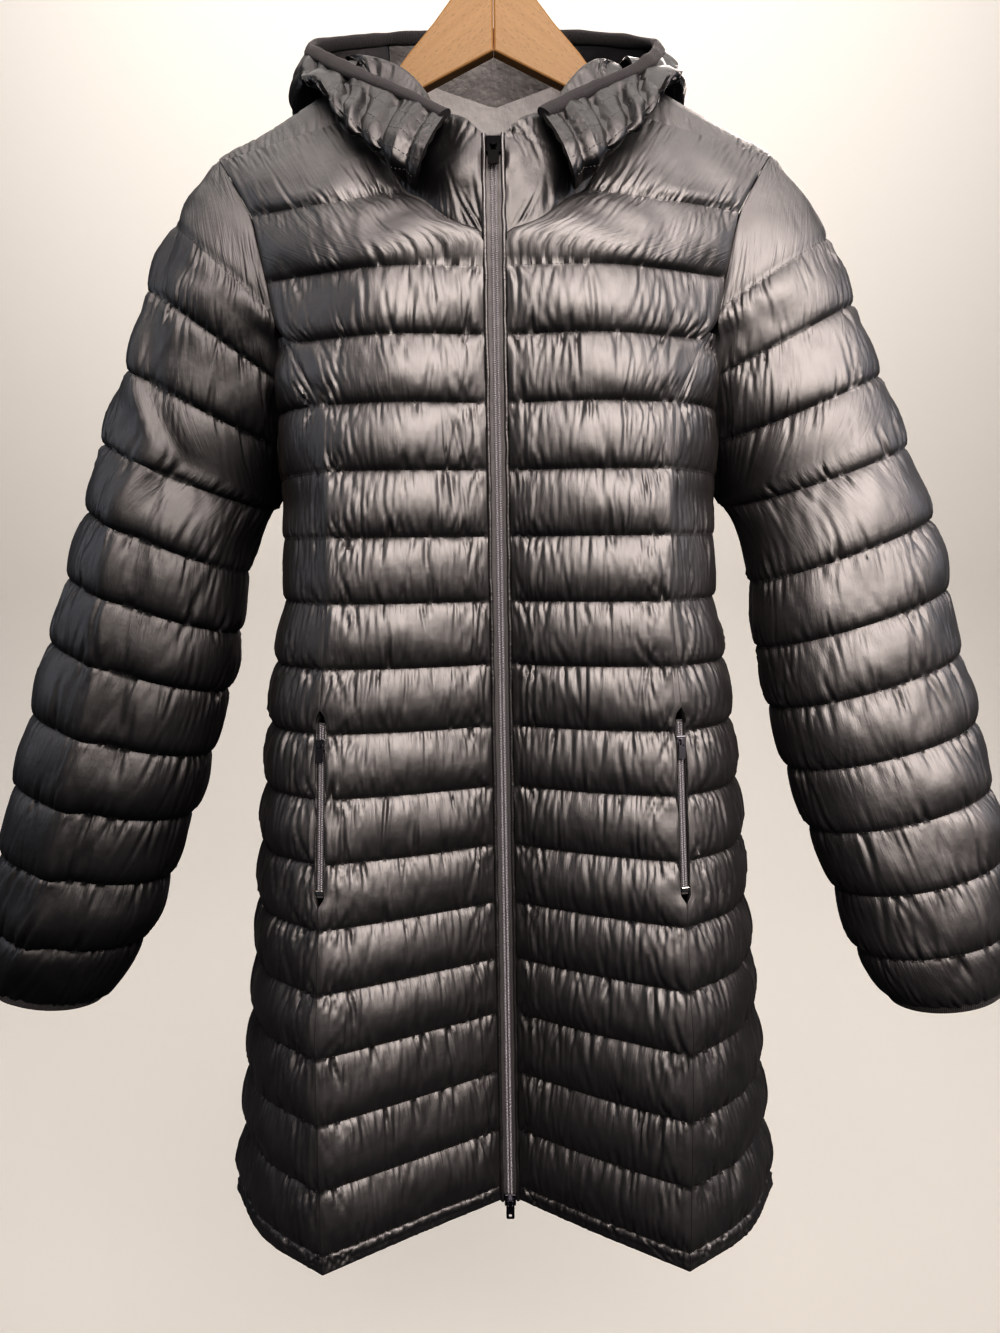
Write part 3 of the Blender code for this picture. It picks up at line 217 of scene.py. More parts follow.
def hermite(keys: Sequence[float], values: np.ndarray, at: np.ndarray) -> np.ndarray:
    """Smooth curve through values at uneven keys that doesn't overshoot them.

    Args:
        keys: rising positions of the values.
        values: one row for each key.
        at: where the curve is wanted, held within the keys.

    Returns:
        The curve's points, in an array shaped like at with the values' columns added.
    """
    keys = np.asarray(keys, float)
    values = np.asarray(values, float)
    at = np.clip(np.asarray(at, float), keys[0], keys[-1])
    step = np.diff(keys)
    slope = np.diff(values, axis=0) / step[:, None]
    tangent = np.zeros_like(values)
    tangent[0], tangent[-1] = slope[0], slope[-1]
    if len(keys) > 2:
        near, far = slope[:-1], slope[1:]
        same = near * far > 0
        weight_near = (2 * step[1:] + step[:-1])[:, None]
        weight_far = (step[1:] + 2 * step[:-1])[:, None]
        near_safe = np.where(same, near, 1.0)
        far_safe = np.where(same, far, 1.0)
        mean = (weight_near + weight_far) / (weight_near / near_safe + weight_far / far_safe)
        tangent[1:-1] = np.where(same, mean, 0.0)
    i = step_at(keys, at)
    t = ((at - keys[i]) / step[i])[..., None]
    return cubic(t, step[i][..., None], (values[i], values[i + 1]), (tangent[i], tangent[i + 1]))


def through(keys: Sequence[float], points: np.ndarray, at: np.ndarray) -> np.ndarray:
    """Rounded curve through points, for going across a patch.

    Args:
        keys: rising positions of the points.
        points: keys × rows × 3, one point for each key and row.
        at: where the curves are wanted, one position for each row.

    Returns:
        The points there, rows × 3.
    """
    keys = np.asarray(keys, float)
    at = np.clip(np.asarray(at, float), keys[0], keys[-1])
    i = step_at(keys, at)
    tangents = even_tangents(np.diff(points, axis=0) / np.diff(keys)[:, None, None])
    rows = np.arange(points.shape[1])
    step = (keys[i + 1] - keys[i])[..., None]
    t = ((at - keys[i]) / (keys[i + 1] - keys[i]))[..., None]
    ends = (points[i, rows], points[i + 1, rows]), (tangents[i, rows], tangents[i + 1, rows])
    return cubic(t, step, *ends)


def unit(vectors: np.ndarray) -> np.ndarray:
    """The vectors along the last axis, each one unit long."""
    return vectors / np.maximum(np.linalg.norm(vectors, axis=-1, keepdims=True), 1e-12)


def squared(way: np.ndarray, *axes: np.ndarray) -> np.ndarray:
    """Unit directions, made square to each of the axes in turn."""
    for axis in axes:
        way = way - axis * (way * axis).sum(-1, keepdims=True)
    return unit(way)


def run_length(points: np.ndarray, axis: int = 0) -> np.ndarray:
    """Distance travelled along a line of points, starting at 0."""
    steps = np.linalg.norm(np.diff(points, axis=axis), axis=-1)
    return np.concatenate([np.zeros_like(np.take(steps, [0], axis)), np.cumsum(steps, axis)], axis)


def line_height(line: np.ndarray) -> np.ndarray:
    """Height of a stitch line of the body."""
    return np.interp(line, LINES, LINE_HEIGHTS)


def zip_centre(line: np.ndarray) -> np.ndarray:
    """Sideways place of the main zip, which leans a little."""
    return np.interp(line, (1, 18), (-0.001, 0.004))


def column(rows: Sequence[Sequence[float]], side: int = 1) -> Curve:
    """A function from stitch line to points for one column of the coat.

    Args:
        rows: line, x, y and perhaps rise for each key of the column.
        side: 1 for the viewer's right half and -1 for the left.

    Returns:
        The column, as a function of an array of stitch lines.
    """
    table = np.array([(*row, 0)[:4] for row in rows], float)

    def at(line: np.ndarray) -> np.ndarray:
        """Points of the column."""
        line = np.asarray(line, float)
        xyr = hermite(table[:, 0], table[:, 1:], line) * MM
        return np.stack([side * xyr[..., 0], xyr[..., 1], line_height(line) + xyr[..., 2]], -1)

    return at


def zip_edge(side: int) -> Curve:
    """The neck and zip edge, which follows the zip's slight lean."""
    plain = column(NECK_AND_ZIP_EDGE, side)

    def at(line: np.ndarray) -> np.ndarray:
        """Points of the edge."""
        points = plain(line)
        points[..., 0] += zip_centre(line) * np.clip(np.asarray(line) - 1, 0, 1)
        return points

    return at


def under_arm(armhole_rows: Sequence[Sequence[float]], side: int) -> Curve:
    """The armhole's lower edge down to the armpit, and from there the line down the side."""
    edge = column(tuple(armhole_rows) + SIDE_LINE[:1], side)
    side_line = column(SIDE_LINE, side)

    def at(line: np.ndarray) -> np.ndarray:
        """Points of the edge or of the line below it."""
        line = np.asarray(line, float)
        return np.where((line < ARMPIT)[..., None], edge(line), side_line(line))

    return at


def bowed(first: Curve, second: Curve, bow: float, side: int) -> Curve:
    """The column half way between two others, bowed outwards as the cloth rounds the body."""

    def at(line: np.ndarray) -> np.ndarray:
        """Points of the bowed column."""
        line = np.asarray(line, float)
        a, b = first(line), second(line)
        along = b - a
        out = unit(np.stack([along[..., 1], -along[..., 0], np.zeros_like(along[..., 0])], -1))
        out *= np.sign(out[..., :1]) * side
        grown = np.clip((line - HORN) / (6.0 - HORN), 0, 1)
        return (a + b) / 2 + out * (bow * grown)[..., None]

    return at


class Patch:
    """Cloth between columns. u runs across, from 0 at the first column to 1 at the last."""

    def __init__(self, columns: list[Curve], lines: tuple[float, float], outward: Sequence[float]):
        """Lays the patch out.

        Args:
            columns: its columns in order.
            lines: its first and last line.
            outward: roughly which way is outside.
        """
        self.columns = columns
        self.keys = np.linspace(0, 1, len(columns))
        self.low, self.high = lines
        self.sign = 1.0
        middle = self.normal(np.array([0.5]), np.array([(self.low + self.high) / 2]))
        if middle[0] @ np.asarray(outward, float) < 0:
            self.sign = -1.0

    def point(self, u: np.ndarray, line: np.ndarray) -> np.ndarray:
        """Points of the cloth with no down in it."""
        u, line = np.broadcast_arrays(np.asarray(u, float), np.asarray(line, float))
        columns = np.stack([c(line.ravel()) for c in self.columns])
        return through(self.keys, columns, u.ravel()).reshape(*u.shape, 3)

    def normal(self, u: np.ndarray, line: np.ndarray) -> np.ndarray:
        """Unit normals on the outer side, from differences that stay inside the patch."""
        u, line = np.broadcast_arrays(np.asarray(u, float), np.asarray(line, float))
        across = self.point(np.minimum(u + 0.12, 1), line) - self.point(np.maximum(u - 0.12, 0), line)
        low, high = np.maximum(line - 0.3, self.low), np.minimum(line + 0.3, self.high)
        down = self.point(u, high) - self.point(u, low)
        return unit(np.cross(across, down) * self.sign)


def half_of_body(side: int) -> dict[str, Patch]:
    """The four patches of one half of the body, in order round it from the zip."""
    edge, mid, seam = zip_edge(side), column(MID_FRONT, side), column(FRONT_SEAM, side)
    side_front, side_back = under_arm(ARMHOLE_LOW_FRONT, side), under_arm(ARMHOLE_LOW_BACK, side)
    back_seam, blade = column(BACK_SEAM, side), column(BACK_BLADE, side)
    centre = column(NECK_AND_BACK_CENTRE, side)
    front_bow = bowed(seam, side_front, 0.012, side)
    back_bow = bowed(side_back, back_seam, 0.018, side)
    return {
        "front": Patch([edge, mid, seam], (0, 18), (0, -1, 0)),
        "side_front": Patch([seam, front_bow, side_front], (HORN, 18), (side, -0.5, 0)),
        "side_back": Patch([side_back, back_bow, back_seam], (HORN, 18), (side, 0.5, 0)),
        "back": Patch([centre, blade, back_seam], (-1, 18), (0, 1, 0)),
    }


# ---------------------------------------------------------------- quilted cloth


def resample(values: np.ndarray, keys: np.ndarray, at: np.ndarray) -> np.ndarray:
    """Cubic interpolation of a grid's rows.

    Args:
        values: rows × anything.
        keys: position of each row, rising.
        at: wanted positions.

    Returns:
        The grid with one row for each wanted position.
    """
    flat = values.reshape(len(keys), -1)
    tangents = even_tangents(np.diff(flat, axis=0) / np.diff(keys)[:, None])
    i = step_at(keys, at)
    step = (keys[i + 1] - keys[i])[:, None]
    t = ((at - keys[i]) / (keys[i + 1] - keys[i]))[:, None]
    made = cubic(t, step, (flat[i], flat[i + 1]), (tangents[i], tangents[i + 1]))
    return made.reshape(len(at), *values.shape[1:])


def stitched_rows(first: float, last: float, per_channel: int) -> np.ndarray:
    """Lines of a quilt's rows: the stitch lines, and so many steps between neighbours."""
    inner = np.arange(math.ceil(first * per_channel), int(last * per_channel) + 1) / per_channel
    return np.unique(np.round([first, *inner, last], 9))


def strips(cols: int, slit: int | None) -> list[tuple[int, int]]:
    """First column and end of each part of a grid, which a slit cuts in two."""
    return [(0, cols)] if slit is None else [(0, slit + 1), (slit + 1, cols)]


def crowded(lines: np.ndarray) -> np.ndarray:
    """Moves the rows between stitch lines towards them, where the cloth turns most."""
    whole = np.floor(lines + 1e-9)
    part = np.clip(lines - whole, 0, 1)
    return whole + 0.4 * part + 0.3 * (1 - np.cos(math.pi * part))


def facing(points: np.ndarray, like: np.ndarray) -> np.ndarray:
    """Unit normals of a grid of points, on the side that the like normals show."""
    n = unit(np.cross(np.gradient(points, axis=1), np.gradient(points, axis=0)))
    return n * np.sign((n * like).sum(-1, keepdims=True) + 1e-9)


def lumps(points: np.ndarray, seed: int, size: float, waves: int = 24) -> np.ndarray:
    """Slow uneven waves through space, about -1 to 1.

    Args:
        points: where they are wanted.
        seed: of the random draws.
        size: length of a typical wave.
        waves: how many are added up.

    Returns:
        One height for each point.
    """
    rng = np.random.default_rng(seed)
    ways = unit(rng.normal(size=(waves, 3))) * (2 * math.pi / size)
    ways *= rng.uniform(0.6, 1.6, (waves, 1))
    phases = rng.uniform(0, 2 * math.pi, waves)
    made = np.zeros(points.shape[:-1])
    for way, phase in zip(ways, phases):
        made += np.sin(points @ way + phase)
    return made / math.sqrt(waves)


@dataclass
class Puckers:
    """Creases that run off the stitching, where its thread gathers the cloth."""

    seed: int
    long_every: float = 0.0085
    long_reach: tuple[float, float] = (0.012, 0.050)
    long_depth: tuple[float, float] = (0.0004, 0.0017)
    long_width: tuple[float, float] = (0.0010, 0.0024)
    short_every: float = 0.0034
    short_depth: float = 0.0006
    paired: float = 0.35
    fan_reach: tuple[float, float] = (0.012, 0.040)
    fan_count: int = 9
    strength: float = 1.0

    def heights(self, across: np.ndarray, lines: np.ndarray, depth: np.ndarray) -> np.ndarray:
        """How far each point of a fine grid is pulled in or pushed out.

        Args:
            across: rows × columns, distance along each row.
            lines: line of each row.
            depth: distance of each row below the first one.

        Returns:
            Heights above the smooth cloth, rows × columns.
        """
        heights = np.zeros(across.shape)
        rng = np.random.default_rng(self.seed)
        for channel in range(math.floor(lines[0]), math.ceil(lines[-1])):
            rows = np.flatnonzero((lines > channel - ON_LINE) & (lines < channel + 1 + ON_LINE))
            if len(rows) < 3:
                continue
            span = float(across[rows, 0].max()), float(across[rows, -1].min())
            down = depth[rows] - depth[rows[0]]
            gap = float(down[-1])
            block = self._channel(rng, across[rows], down[:, None], span, gap)
            ease = np.clip(np.minimum(down, gap - down) / 0.0035, 0, 1)
            heights[rows] += block * ease[:, None]
        return heights * self.strength

    def _channel(
        self,
        rng: np.random.Generator,
        x: np.ndarray,
        down: np.ndarray,
        span: tuple[float, float],
        gap: float,
    ) -> np.ndarray:
        """The creases of one channel: long ones, short gathers and fans at its ends."""
        width = max(span[1] - span[0], 0.01)
        made = np.zeros(np.broadcast_shapes(x.shape, down.shape))
        count = max(2, 2 * int(width / self.long_every))
        short = rng.choice([1, 0.55], count, p=[0.6, 0.4])
        long = Trough(
            starts=rng.uniform(span[0], span[1], count),
            reach=np.minimum(rng.uniform(*self.long_reach, count) * short, gap),
            slant=rng.normal(0, 0.20, count),
            bend=rng.normal(0, 3.0, count),
            deep=rng.uniform(*self.long_depth, count),
            wide=rng.uniform(*self.long_width, count),
            upper=rng.random(count) < 0.5,
        )
        twins = rng.random(count) < self.paired
        forked = replace(long.only(twins), slant=-long.slant[twins] + rng.normal(0, 0.15, twins.sum()))
        count = max(4, 2 * int(width / self.short_every))
        gathers = Trough(
            starts=rng.uniform(span[0], span[1], count),
            reach=np.minimum(rng.uniform(0.005, 0.013, count), gap * 0.6),
            slant=rng.normal(0, 0.12, count),
            bend=np.zeros(count),
            deep=self.short_depth * rng.uniform(0.4, 1.2, count),
            wide=rng.uniform(0.0008, 0.0013, count),
            upper=rng.random(count) < 0.6,
        )
        pressed = [long, forked, gathers]
        count = self.fan_count
        for edge, turn in ((span[0], 1), (span[1], -1)):
            fan = Trough(
                starts=edge + turn * rng.uniform(-0.004, 0.014, count),
                reach=rng.uniform(*self.fan_reach, count),
                slant=turn * rng.uniform(0.3, 1.7, count),
                bend=turn * rng.uniform(-8, 0, count),
                deep=rng.uniform(0.0006, 0.0021, count),
                wide=rng.uniform(0.0011, 0.0022, count),
                upper=rng.random(count) < 0.55,
            )
            pressed.append(fan)
        for troughs in pressed:
            troughs.press(made, x, down, gap)
        return made


@dataclass
class Trough:
    """V-shaped creases with raised lips, each from a stitch line some way into its channel."""

    starts: np.ndarray
    reach: np.ndarray
    slant: np.ndarray
    bend: np.ndarray
    deep: np.ndarray
    wide: np.ndarray
    upper: np.ndarray

    def only(self, chosen: np.ndarray) -> "Trough":
        """Some of the creases, for making others like them."""
        return Trough(*(getattr(self, part.name)[chosen] for part in fields(self)))

    def press(self, made: np.ndarray, x: np.ndarray, down: np.ndarray, gap: float) -> None:
        """Adds the creases to a channel's heights.

        Args:
            made: heights of the channel, which are changed.
            x: distance along the row of each place.
            down: distance of each row below the upper stitch line.
            gap: distance between the channel's stitch lines.
        """
        for k in range(len(self.starts)):
            off = down if self.upper[k] else gap - down
            rows = np.flatnonzero(off[:, 0] < self.reach[k])
            if not len(rows):
                continue
            run = off[rows]
            centre = self.starts[k] + self.slant[k] * run + self.bend[k] * run**2
            taper = (1 - run / self.reach[k]) ** 0.8
            side = np.abs(x[rows] - centre) / (self.wide[k] * (0.6 + 0.4 * taper))
            lips = 0.45 * np.exp(-((side - 2.0) ** 2))
            made[rows] += self.deep[k] * taper * (lips - np.exp(-(side**1.3)))


@dataclass(frozen=True)
class Fold:
    """A soft fold that runs down a panel: a ridge if it rises, a valley if it sinks."""

    place: float
    width: float
    rise: float
    slant: float = 0.0
    first: float = 0.0
    last: float = 1.0

    def heights(self, across: np.ndarray, share: np.ndarray) -> np.ndarray:
        """Its height at each place.

        Args:
            across: rows × columns, distance along each row.
            share: how far down the panel each row is, from 0 to 1.

        Returns:
            Heights, rows × columns.
        """
        middle = self.place + self.slant * (share - self.first)
        ends = np.clip(np.minimum(share - self.first, self.last - share) / 0.15 + 0.25, 0, 1)
        side = np.abs(across - middle[:, None]) / self.width
        return self.rise * ends[:, None] * np.exp(-(side**1.7))


@dataclass
class Quilt:
    """A padded panel laid out as a grid, whose rows follow its stitching.

    A slit is a column after which the grid is cut open, down to the line where it is sewn up. A
    closed grid is a tube from that line on. fill is the share of the down at each place, and seam
    what a seam beside it leaves of the swell. node is the CAD part that it stands for.
    """

    node: str
    lines: np.ndarray
    rest: np.ndarray
    outward: np.ndarray
    seam: np.ndarray
    fill: np.ndarray
    puff: float
    wall: float
    puckers: Puckers
    slit: int | None = None
    closed: bool = False
    sewn_from: float = -9.0
    blown: bool = True
    slack: float = 0.0
    lumpy: float = 0.0008
    lump_size: float = 0.07
    fine_rows: int = 12
    bare: float = 0.35
    thins: float = 1.2
    folds: tuple[Fold, ...] = ()
    finish: "Finishes | None" = None
    swollen: np.ndarray | None = None
    kind: str = "quilt"

    COARSE = 8
    FINE_WIDTH = 0.0013
    FULL_GAP = 0.032
    SAG = 1.3
    ROUND = 0.55

    def __post_init__(self) -> None:
        """Leaves less down where stitch lines run close together."""
        self.fill = np.broadcast_to(self.fill, self.shape).copy()
        depth = run_length(self.rest, 0)
        whole = self.lines[np.abs(self.lines % 1) < ON_LINE]
        knots = np.unique([self.lines[0], *np.round(whole), self.lines[-1]])
        rows = [int(np.argmin(np.abs(self.lines - knot))) for knot in knots]
        gaps = np.diff(depth[rows], axis=0)
        middles = (knots[:-1] + knots[1:]) / 2
        for k in range(self.shape[1]):
            gap = np.interp(self.lines, middles, gaps[:, k])
            self.fill[:, k] = self.fill[:, k] * np.clip(gap / self.FULL_GAP, 0.05, 1) ** self.thins

    @property
    def shape(self) -> tuple[int, int]:
        """Rows and columns of the coarse grid."""
        return self.rest.shape[:2]

    def welds(self, lines: np.ndarray, cols: int, slit: int | None) -> list[tuple[int, int]]:
        """Places in a grid that are sewn together, as pairs of the one that goes and the one that stays."""
        sewn = np.flatnonzero(lines >= self.sewn_from - ON_LINE)
        pairs = []
        if slit is not None:
            pairs += [(r * cols + slit + 1, r * cols + slit) for r in sewn]
        if self.closed:
            pairs += [(r * cols + cols - 1, r * cols) for r in sewn]
        return pairs

    def held(self) -> np.ndarray:
        """Where the coarse grid is sewn down: its stitch lines and its open edges."""
        held = np.zeros(self.shape, bool)
        held[np.abs(self.lines - np.round(self.lines)) < ON_LINE] = True
        held[[0, -1]] = True
        unsewn = self.lines < self.sewn_from - ON_LINE
        ends = [0, self.shape[1] - 1]
        if not self.closed:
            held[:, ends] = True
        held[np.ix_(unsewn, ends)] = True
        if self.slit is not None:
            held[np.ix_(unsewn, [self.slit, self.slit + 1])] = True
        return held

    def swell(self, lines: np.ndarray) -> np.ndarray:
        """How full the cloth is at each line: the down settles below the middle of each channel."""
        return np.sin(math.pi * (lines % 1.0) ** self.SAG) ** self.ROUND

    def plump(self, share: float = 1.0) -> np.ndarray:
        """The coarse grid with its down put in by rule."""
        rise = self.puff * share * self.fill * self.seam * self.swell(self.lines)[:, None]
        return self.rest + self.outward * rise[..., None]

    def lay(self, bm: bmesh.types.BMesh, lines: np.ndarray, cols: int, slit: int | None) -> list:
        """Adds a flat grid to a mesh being made, open along its slit, and returns its vertices."""
        rows = len(lines)
        made = bmesh.ops.create_grid(bm, x_segments=cols - 1, y_segments=rows - 1, size=0.5)["verts"]
        if slit is not None:
            cut = []
            for row in range(rows - 1):
                near, far = made[row * cols + slit], made[(row + 1) * cols + slit + 1]
                cut += [face for face in near.link_faces if far in face.verts]
            bmesh.ops.delete(bm, geom=cut, context="FACES")
        return made


class DownFilling:
    """Swells every quilt at once: cloth a little too large for its stitching, blown up from inside."""

    FRAMES = 14
    START = 0.92
    SHARE = 0.5
    CLOTH = {
        "vertex_group_mass": "held",
        "vertex_group_shrink": "slack",
        "shrink_min": -0.03,
        "shrink_max": -0.10,
        "use_pressure": True,
        "uniform_pressure_force": 4.0,
        "quality": 5,
        "tension_stiffness": 15,
        "compression_stiffness": 15,
        "shear_stiffness": 5,
        "bending_stiffness": 0.02,
        "mass": 0.3,
    }

    def fill(self, quilts: list[Quilt]) -> None:
        """Sets each quilt's swollen grid."""
        blown = [quilt for quilt in quilts if quilt.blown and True]
        for quilt in quilts:
            quilt.swollen = quilt.plump()
        if not blown:
            return
        cloth, starts = self._cloth(blown)
        scene = bpy.context.scene
        for number in range(1, self.FRAMES + 1):
            scene.frame_set(number)
        graph = bpy.context.evaluated_depsgraph_get()
        settled = cloth.evaluated_get(graph).data
        count = len(settled.vertices)
        places, numbers = np.empty(count * 3), np.empty(count, int)
        settled.vertices.foreach_get("co", places)
        settled.attributes["place"].data.foreach_get("value", numbers)
        found = np.zeros((starts[-1], 3))
        found[numbers] = places.reshape(-1, 3)
        scene.frame_set(1)
        for quilt, start in zip(blown, starts):
            rows, cols = quilt.shape
            block = found[start : start + rows * cols]
            for gone, kept in quilt.welds(quilt.lines, cols, quilt.slit):
                block[gone] = block[kept]
            settled = self._kept_near(quilt, block.reshape(rows, cols, 3))
            quilt.swollen = quilt.swollen + self.SHARE * (settled - quilt.swollen)
        mesh = cloth.data
        bpy.data.objects.remove(cloth)
        bpy.data.meshes.remove(mesh)

    @staticmethod
    def _kept_near(quilt: Quilt, places: np.ndarray) -> np.ndarray:
        """The settled grid, with its rise held between the wall and a little over the quilt's puff."""
        moved = places - quilt.rest
        rise = (moved * quilt.outward).sum(-1)
        sideways = moved - quilt.outward * rise[..., None]
        most = quilt.puff * 1.5
        soft = most * np.tanh(np.maximum(rise, 0) / most) + np.clip(rise, -0.001, 0)
        return quilt.rest + sideways * 0.85 + quilt.outward * (soft * quilt.fill)[..., None]

    def _cloth(self, quilts: list[Quilt]) -> tuple[bpy.types.Object, list[int]]:
        """One mesh of all the quilts with the Cloth modifier that swells it, and where each starts."""
        bm = bmesh.new()
        place = bm.verts.layers.int.new("place")
        group = bm.verts.layers.deform.verify()
        starts, joins = [0], {}
        for quilt in quilts:
            verts = quilt.lay(bm, quilt.lines, quilt.shape[1], quilt.slit)
            held, begin = quilt.held().ravel(), quilt.plump(self.START).reshape(-1, 3)
            for k, vert in enumerate(verts):
                vert.co = begin[k]
                vert[place] = starts[-1] + k
                vert[group][0] = float(held[k])
                vert[group][1] = quilt.slack
            middle = quilt.outward.reshape(-1, 3)[len(verts) // 2 : len(verts) // 2 + 2].mean(0)
            near = verts[len(verts) // 2].link_faces[0]
            near.normal_update()
            if near.normal @ Vector(middle) < 0:
                own = {face for vert in verts for face in vert.link_faces}
                bmesh.ops.reverse_faces(bm, faces=list(own))
            joins |= {verts[a]: verts[b] for a, b in quilt.welds(quilt.lines, quilt.shape[1], quilt.slit)}
            starts.append(starts[-1] + len(verts))
        bmesh.ops.weld_verts(bm, targetmap=joins)
        mesh = bpy.data.meshes.new("swelling")
        bm.to_mesh(mesh)
        bm.free()
        cloth = linked(bpy.data.objects.new("swelling", mesh))
        for name in ("held", "slack"):
            cloth.vertex_groups.new(name=name)
        swell = cloth.modifiers.new("down", "CLOTH")
        for name, value in self.CLOTH.items():
            setattr(swell.settings, name, value)
        swell.settings.effector_weights.gravity = 0
        swell.collision_settings.use_collision = False
        swell.collision_settings.use_self_collision = False
        return cloth, starts


@dataclass
class FineCloth:
    """A quilt at full resolution: its outer and inner face, ready to be made a mesh."""

    quilt: Quilt
    lines: np.ndarray = field(init=False)
    across: np.ndarray = field(init=False)
    points: np.ndarray = field(init=False)
    outward: np.ndarray = field(init=False)
    inner: np.ndarray = field(init=False)
    slit: int | None = field(init=False)

    INNER_STEP = 5

    def __post_init__(self) -> None:
        """Refines the swollen grid and presses the puckers into it."""
        quilt = self.quilt
        even = stitched_rows(float(quilt.lines[0]), float(quilt.lines[-1]), quilt.fine_rows)
        self.lines = np.concatenate([even[:1], crowded(even[1:-1]), even[-1:]])
        halves = self._halves()
        self.slit = None if quilt.slit is None else halves[0][2] - 1
        stray = quilt.swollen - quilt.plump()
        stray, rest, outward, fill, seam = (
            self._refined(grid, halves) for grid in (stray, quilt.rest, quilt.outward, quilt.fill, quilt.seam)
        )
        self.outward = unit(outward)
        rise = quilt.puff * np.clip(fill * seam, 0, 1) * quilt.swell(self.lines)[:, None]
        self.points = rest + stray + self.outward * rise[..., None]
        self.across = run_length(rest, 1)
        depth_at = np.median(run_length(rest, 0), 1)
        swell = np.sin(math.pi * (self.lines % 1.0))[:, None]
        depth = quilt.wall * (0.62 + 0.45 * swell)
        self.inner = rest - self.outward * depth[..., None]
        heights = quilt.puckers.heights(self.across, self.lines, depth_at)
        heights += lumps(rest, quilt.puckers.seed, quilt.lump_size) * quilt.lumpy * swell
        edge = np.minimum(self.across, self.across[:, -1:] - self.across)
        heights *= np.clip(edge / 0.004, 0, 1) * (quilt.bare + (1 - quilt.bare) * np.clip(fill, 0, 1))
        heights = np.maximum(heights, -0.0042)
        share = (self.lines - self.lines[0]) / (self.lines[-1] - self.lines[0])
        for fold in quilt.folds:
            heights += fold.heights(self.across, share) * np.clip(edge / 0.004, 0, 1)
        self.points = self.points + facing(self.points, self.outward) * heights[..., None]

    def _halves(self) -> list[tuple[int, int, int]]:
        """First and last coarse column of each part of the grid, and its fine columns."""
        quilt = self.quilt
        halves = []
        for low, high in strips(quilt.shape[1], quilt.slit):
            length = run_length(quilt.rest[:, low:high], 1)[:, -1].max()
            halves.append((low, high, max(high - low, int(length / quilt.FINE_WIDTH) + 1)))
        return halves

    def _refined(self, grid: np.ndarray, halves: list[tuple[int, int, int]]) -> np.ndarray:
        """A coarse grid made fine, with its folds kept sharp at the stitch lines."""
        lines, keys = self.lines, self.quilt.lines
        whole = keys[np.abs(keys - np.round(keys)) < ON_LINE]
        whole = np.unique([keys[0], *np.round(whole), keys[-1]])
        parts = []
        for low, high in zip(whole[:-1], whole[1:]):
            old = (keys >= low - ON_LINE) & (keys <= high + ON_LINE)
            new = (lines >= low - ON_LINE) & (lines <= high + ON_LINE)
            part = resample(grid[old], keys[old], lines[new])
            parts.append(part if low == whole[0] else part[1:])
        turned = np.swapaxes(np.concatenate(parts), 0, 1)
        parts = [resample(turned[a:b], np.linspace(0, 1, b - a), np.linspace(0, 1, n)) for a, b, n in halves]
        return np.swapaxes(np.concatenate(parts), 0, 1)

    def solid(self) -> bpy.types.Object:
        """The panel as one closed mesh: fine outside, plainer inside, joined round its edges."""
        quilt = self.quilt
        rows, cols = self.across.shape
        wanted = {0, rows - 1, int(np.argmax(self.lines >= quilt.sewn_from - ON_LINE))}
        wanted |= {k for k in range(rows) if abs(self.lines[k] * 2 - round(self.lines[k] * 2)) < ON_LINE}
        inner_rows = sorted(wanted)
        inner_cols = {0, cols - 1, *range(0, cols, self.INNER_STEP)}
        if self.slit is not None:
            inner_cols |= {self.slit, self.slit + 1}
        inner_cols = sorted(inner_cols)
        inner_slit = None if self.slit is None else inner_cols.index(self.slit)

        bm = bmesh.new()
        outer = quilt.lay(bm, self.lines, cols, self.slit)
        inner = quilt.lay(bm, self.lines[inner_rows], len(inner_cols), inner_slit)
        pick = np.ix_(inner_rows, inner_cols)
        places = np.vstack([self.points.reshape(-1, 3), self.inner[pick].reshape(-1, 3)])
        for vert, place in zip([*outer, *inner], places):
            vert.co = place
        for route in self._edges(rows, cols):
            self._bind(bm, route, outer, inner, (inner_rows, inner_cols), cols)
        across = np.concatenate([self.across.ravel(), self.across[pick].ravel()])
        line = np.repeat(self.lines, cols), np.repeat(self.lines[inner_rows], len(inner_cols))
        lay_flat(bm, np.stack([across, np.concatenate(line)], -1).tolist())
        joins = {outer[a]: outer[b] for a, b in quilt.welds(self.lines, cols, self.slit)}
        pairs = quilt.welds(self.lines[inner_rows], len(inner_cols), inner_slit)
        joins |= {inner[a]: inner[b] for a, b in pairs}
        bmesh.ops.weld_verts(bm, targetmap=joins)
        bmesh.ops.recalc_face_normals(bm, faces=bm.faces[:])
        return piece_from(f"{quilt.node}_{quilt.kind}", bm, sharp=65)

    def _edges(self, rows: int, cols: int) -> list[list[tuple[int, int]]]:
        """Each open edge of the panel, as places of the fine grid in order."""
        quilt = self.quilt
        unsewn = int(np.argmax(self.lines >= quilt.sewn_from - ON_LINE)) + 1
        parts = strips(cols, self.slit)
        routes = [[(row, c) for c in range(*part)] for part in parts for row in (0, rows - 1)]
        ends = {0: rows, cols - 1: rows}
        if quilt.closed:
            ends = {0: unsewn, cols - 1: unsewn}
        if self.slit is not None:
            ends |= {self.slit: unsewn, self.slit + 1: unsewn}
        routes += [[(r, c) for r in range(end)] for c, end in ends.items() if end > 1]
        return routes

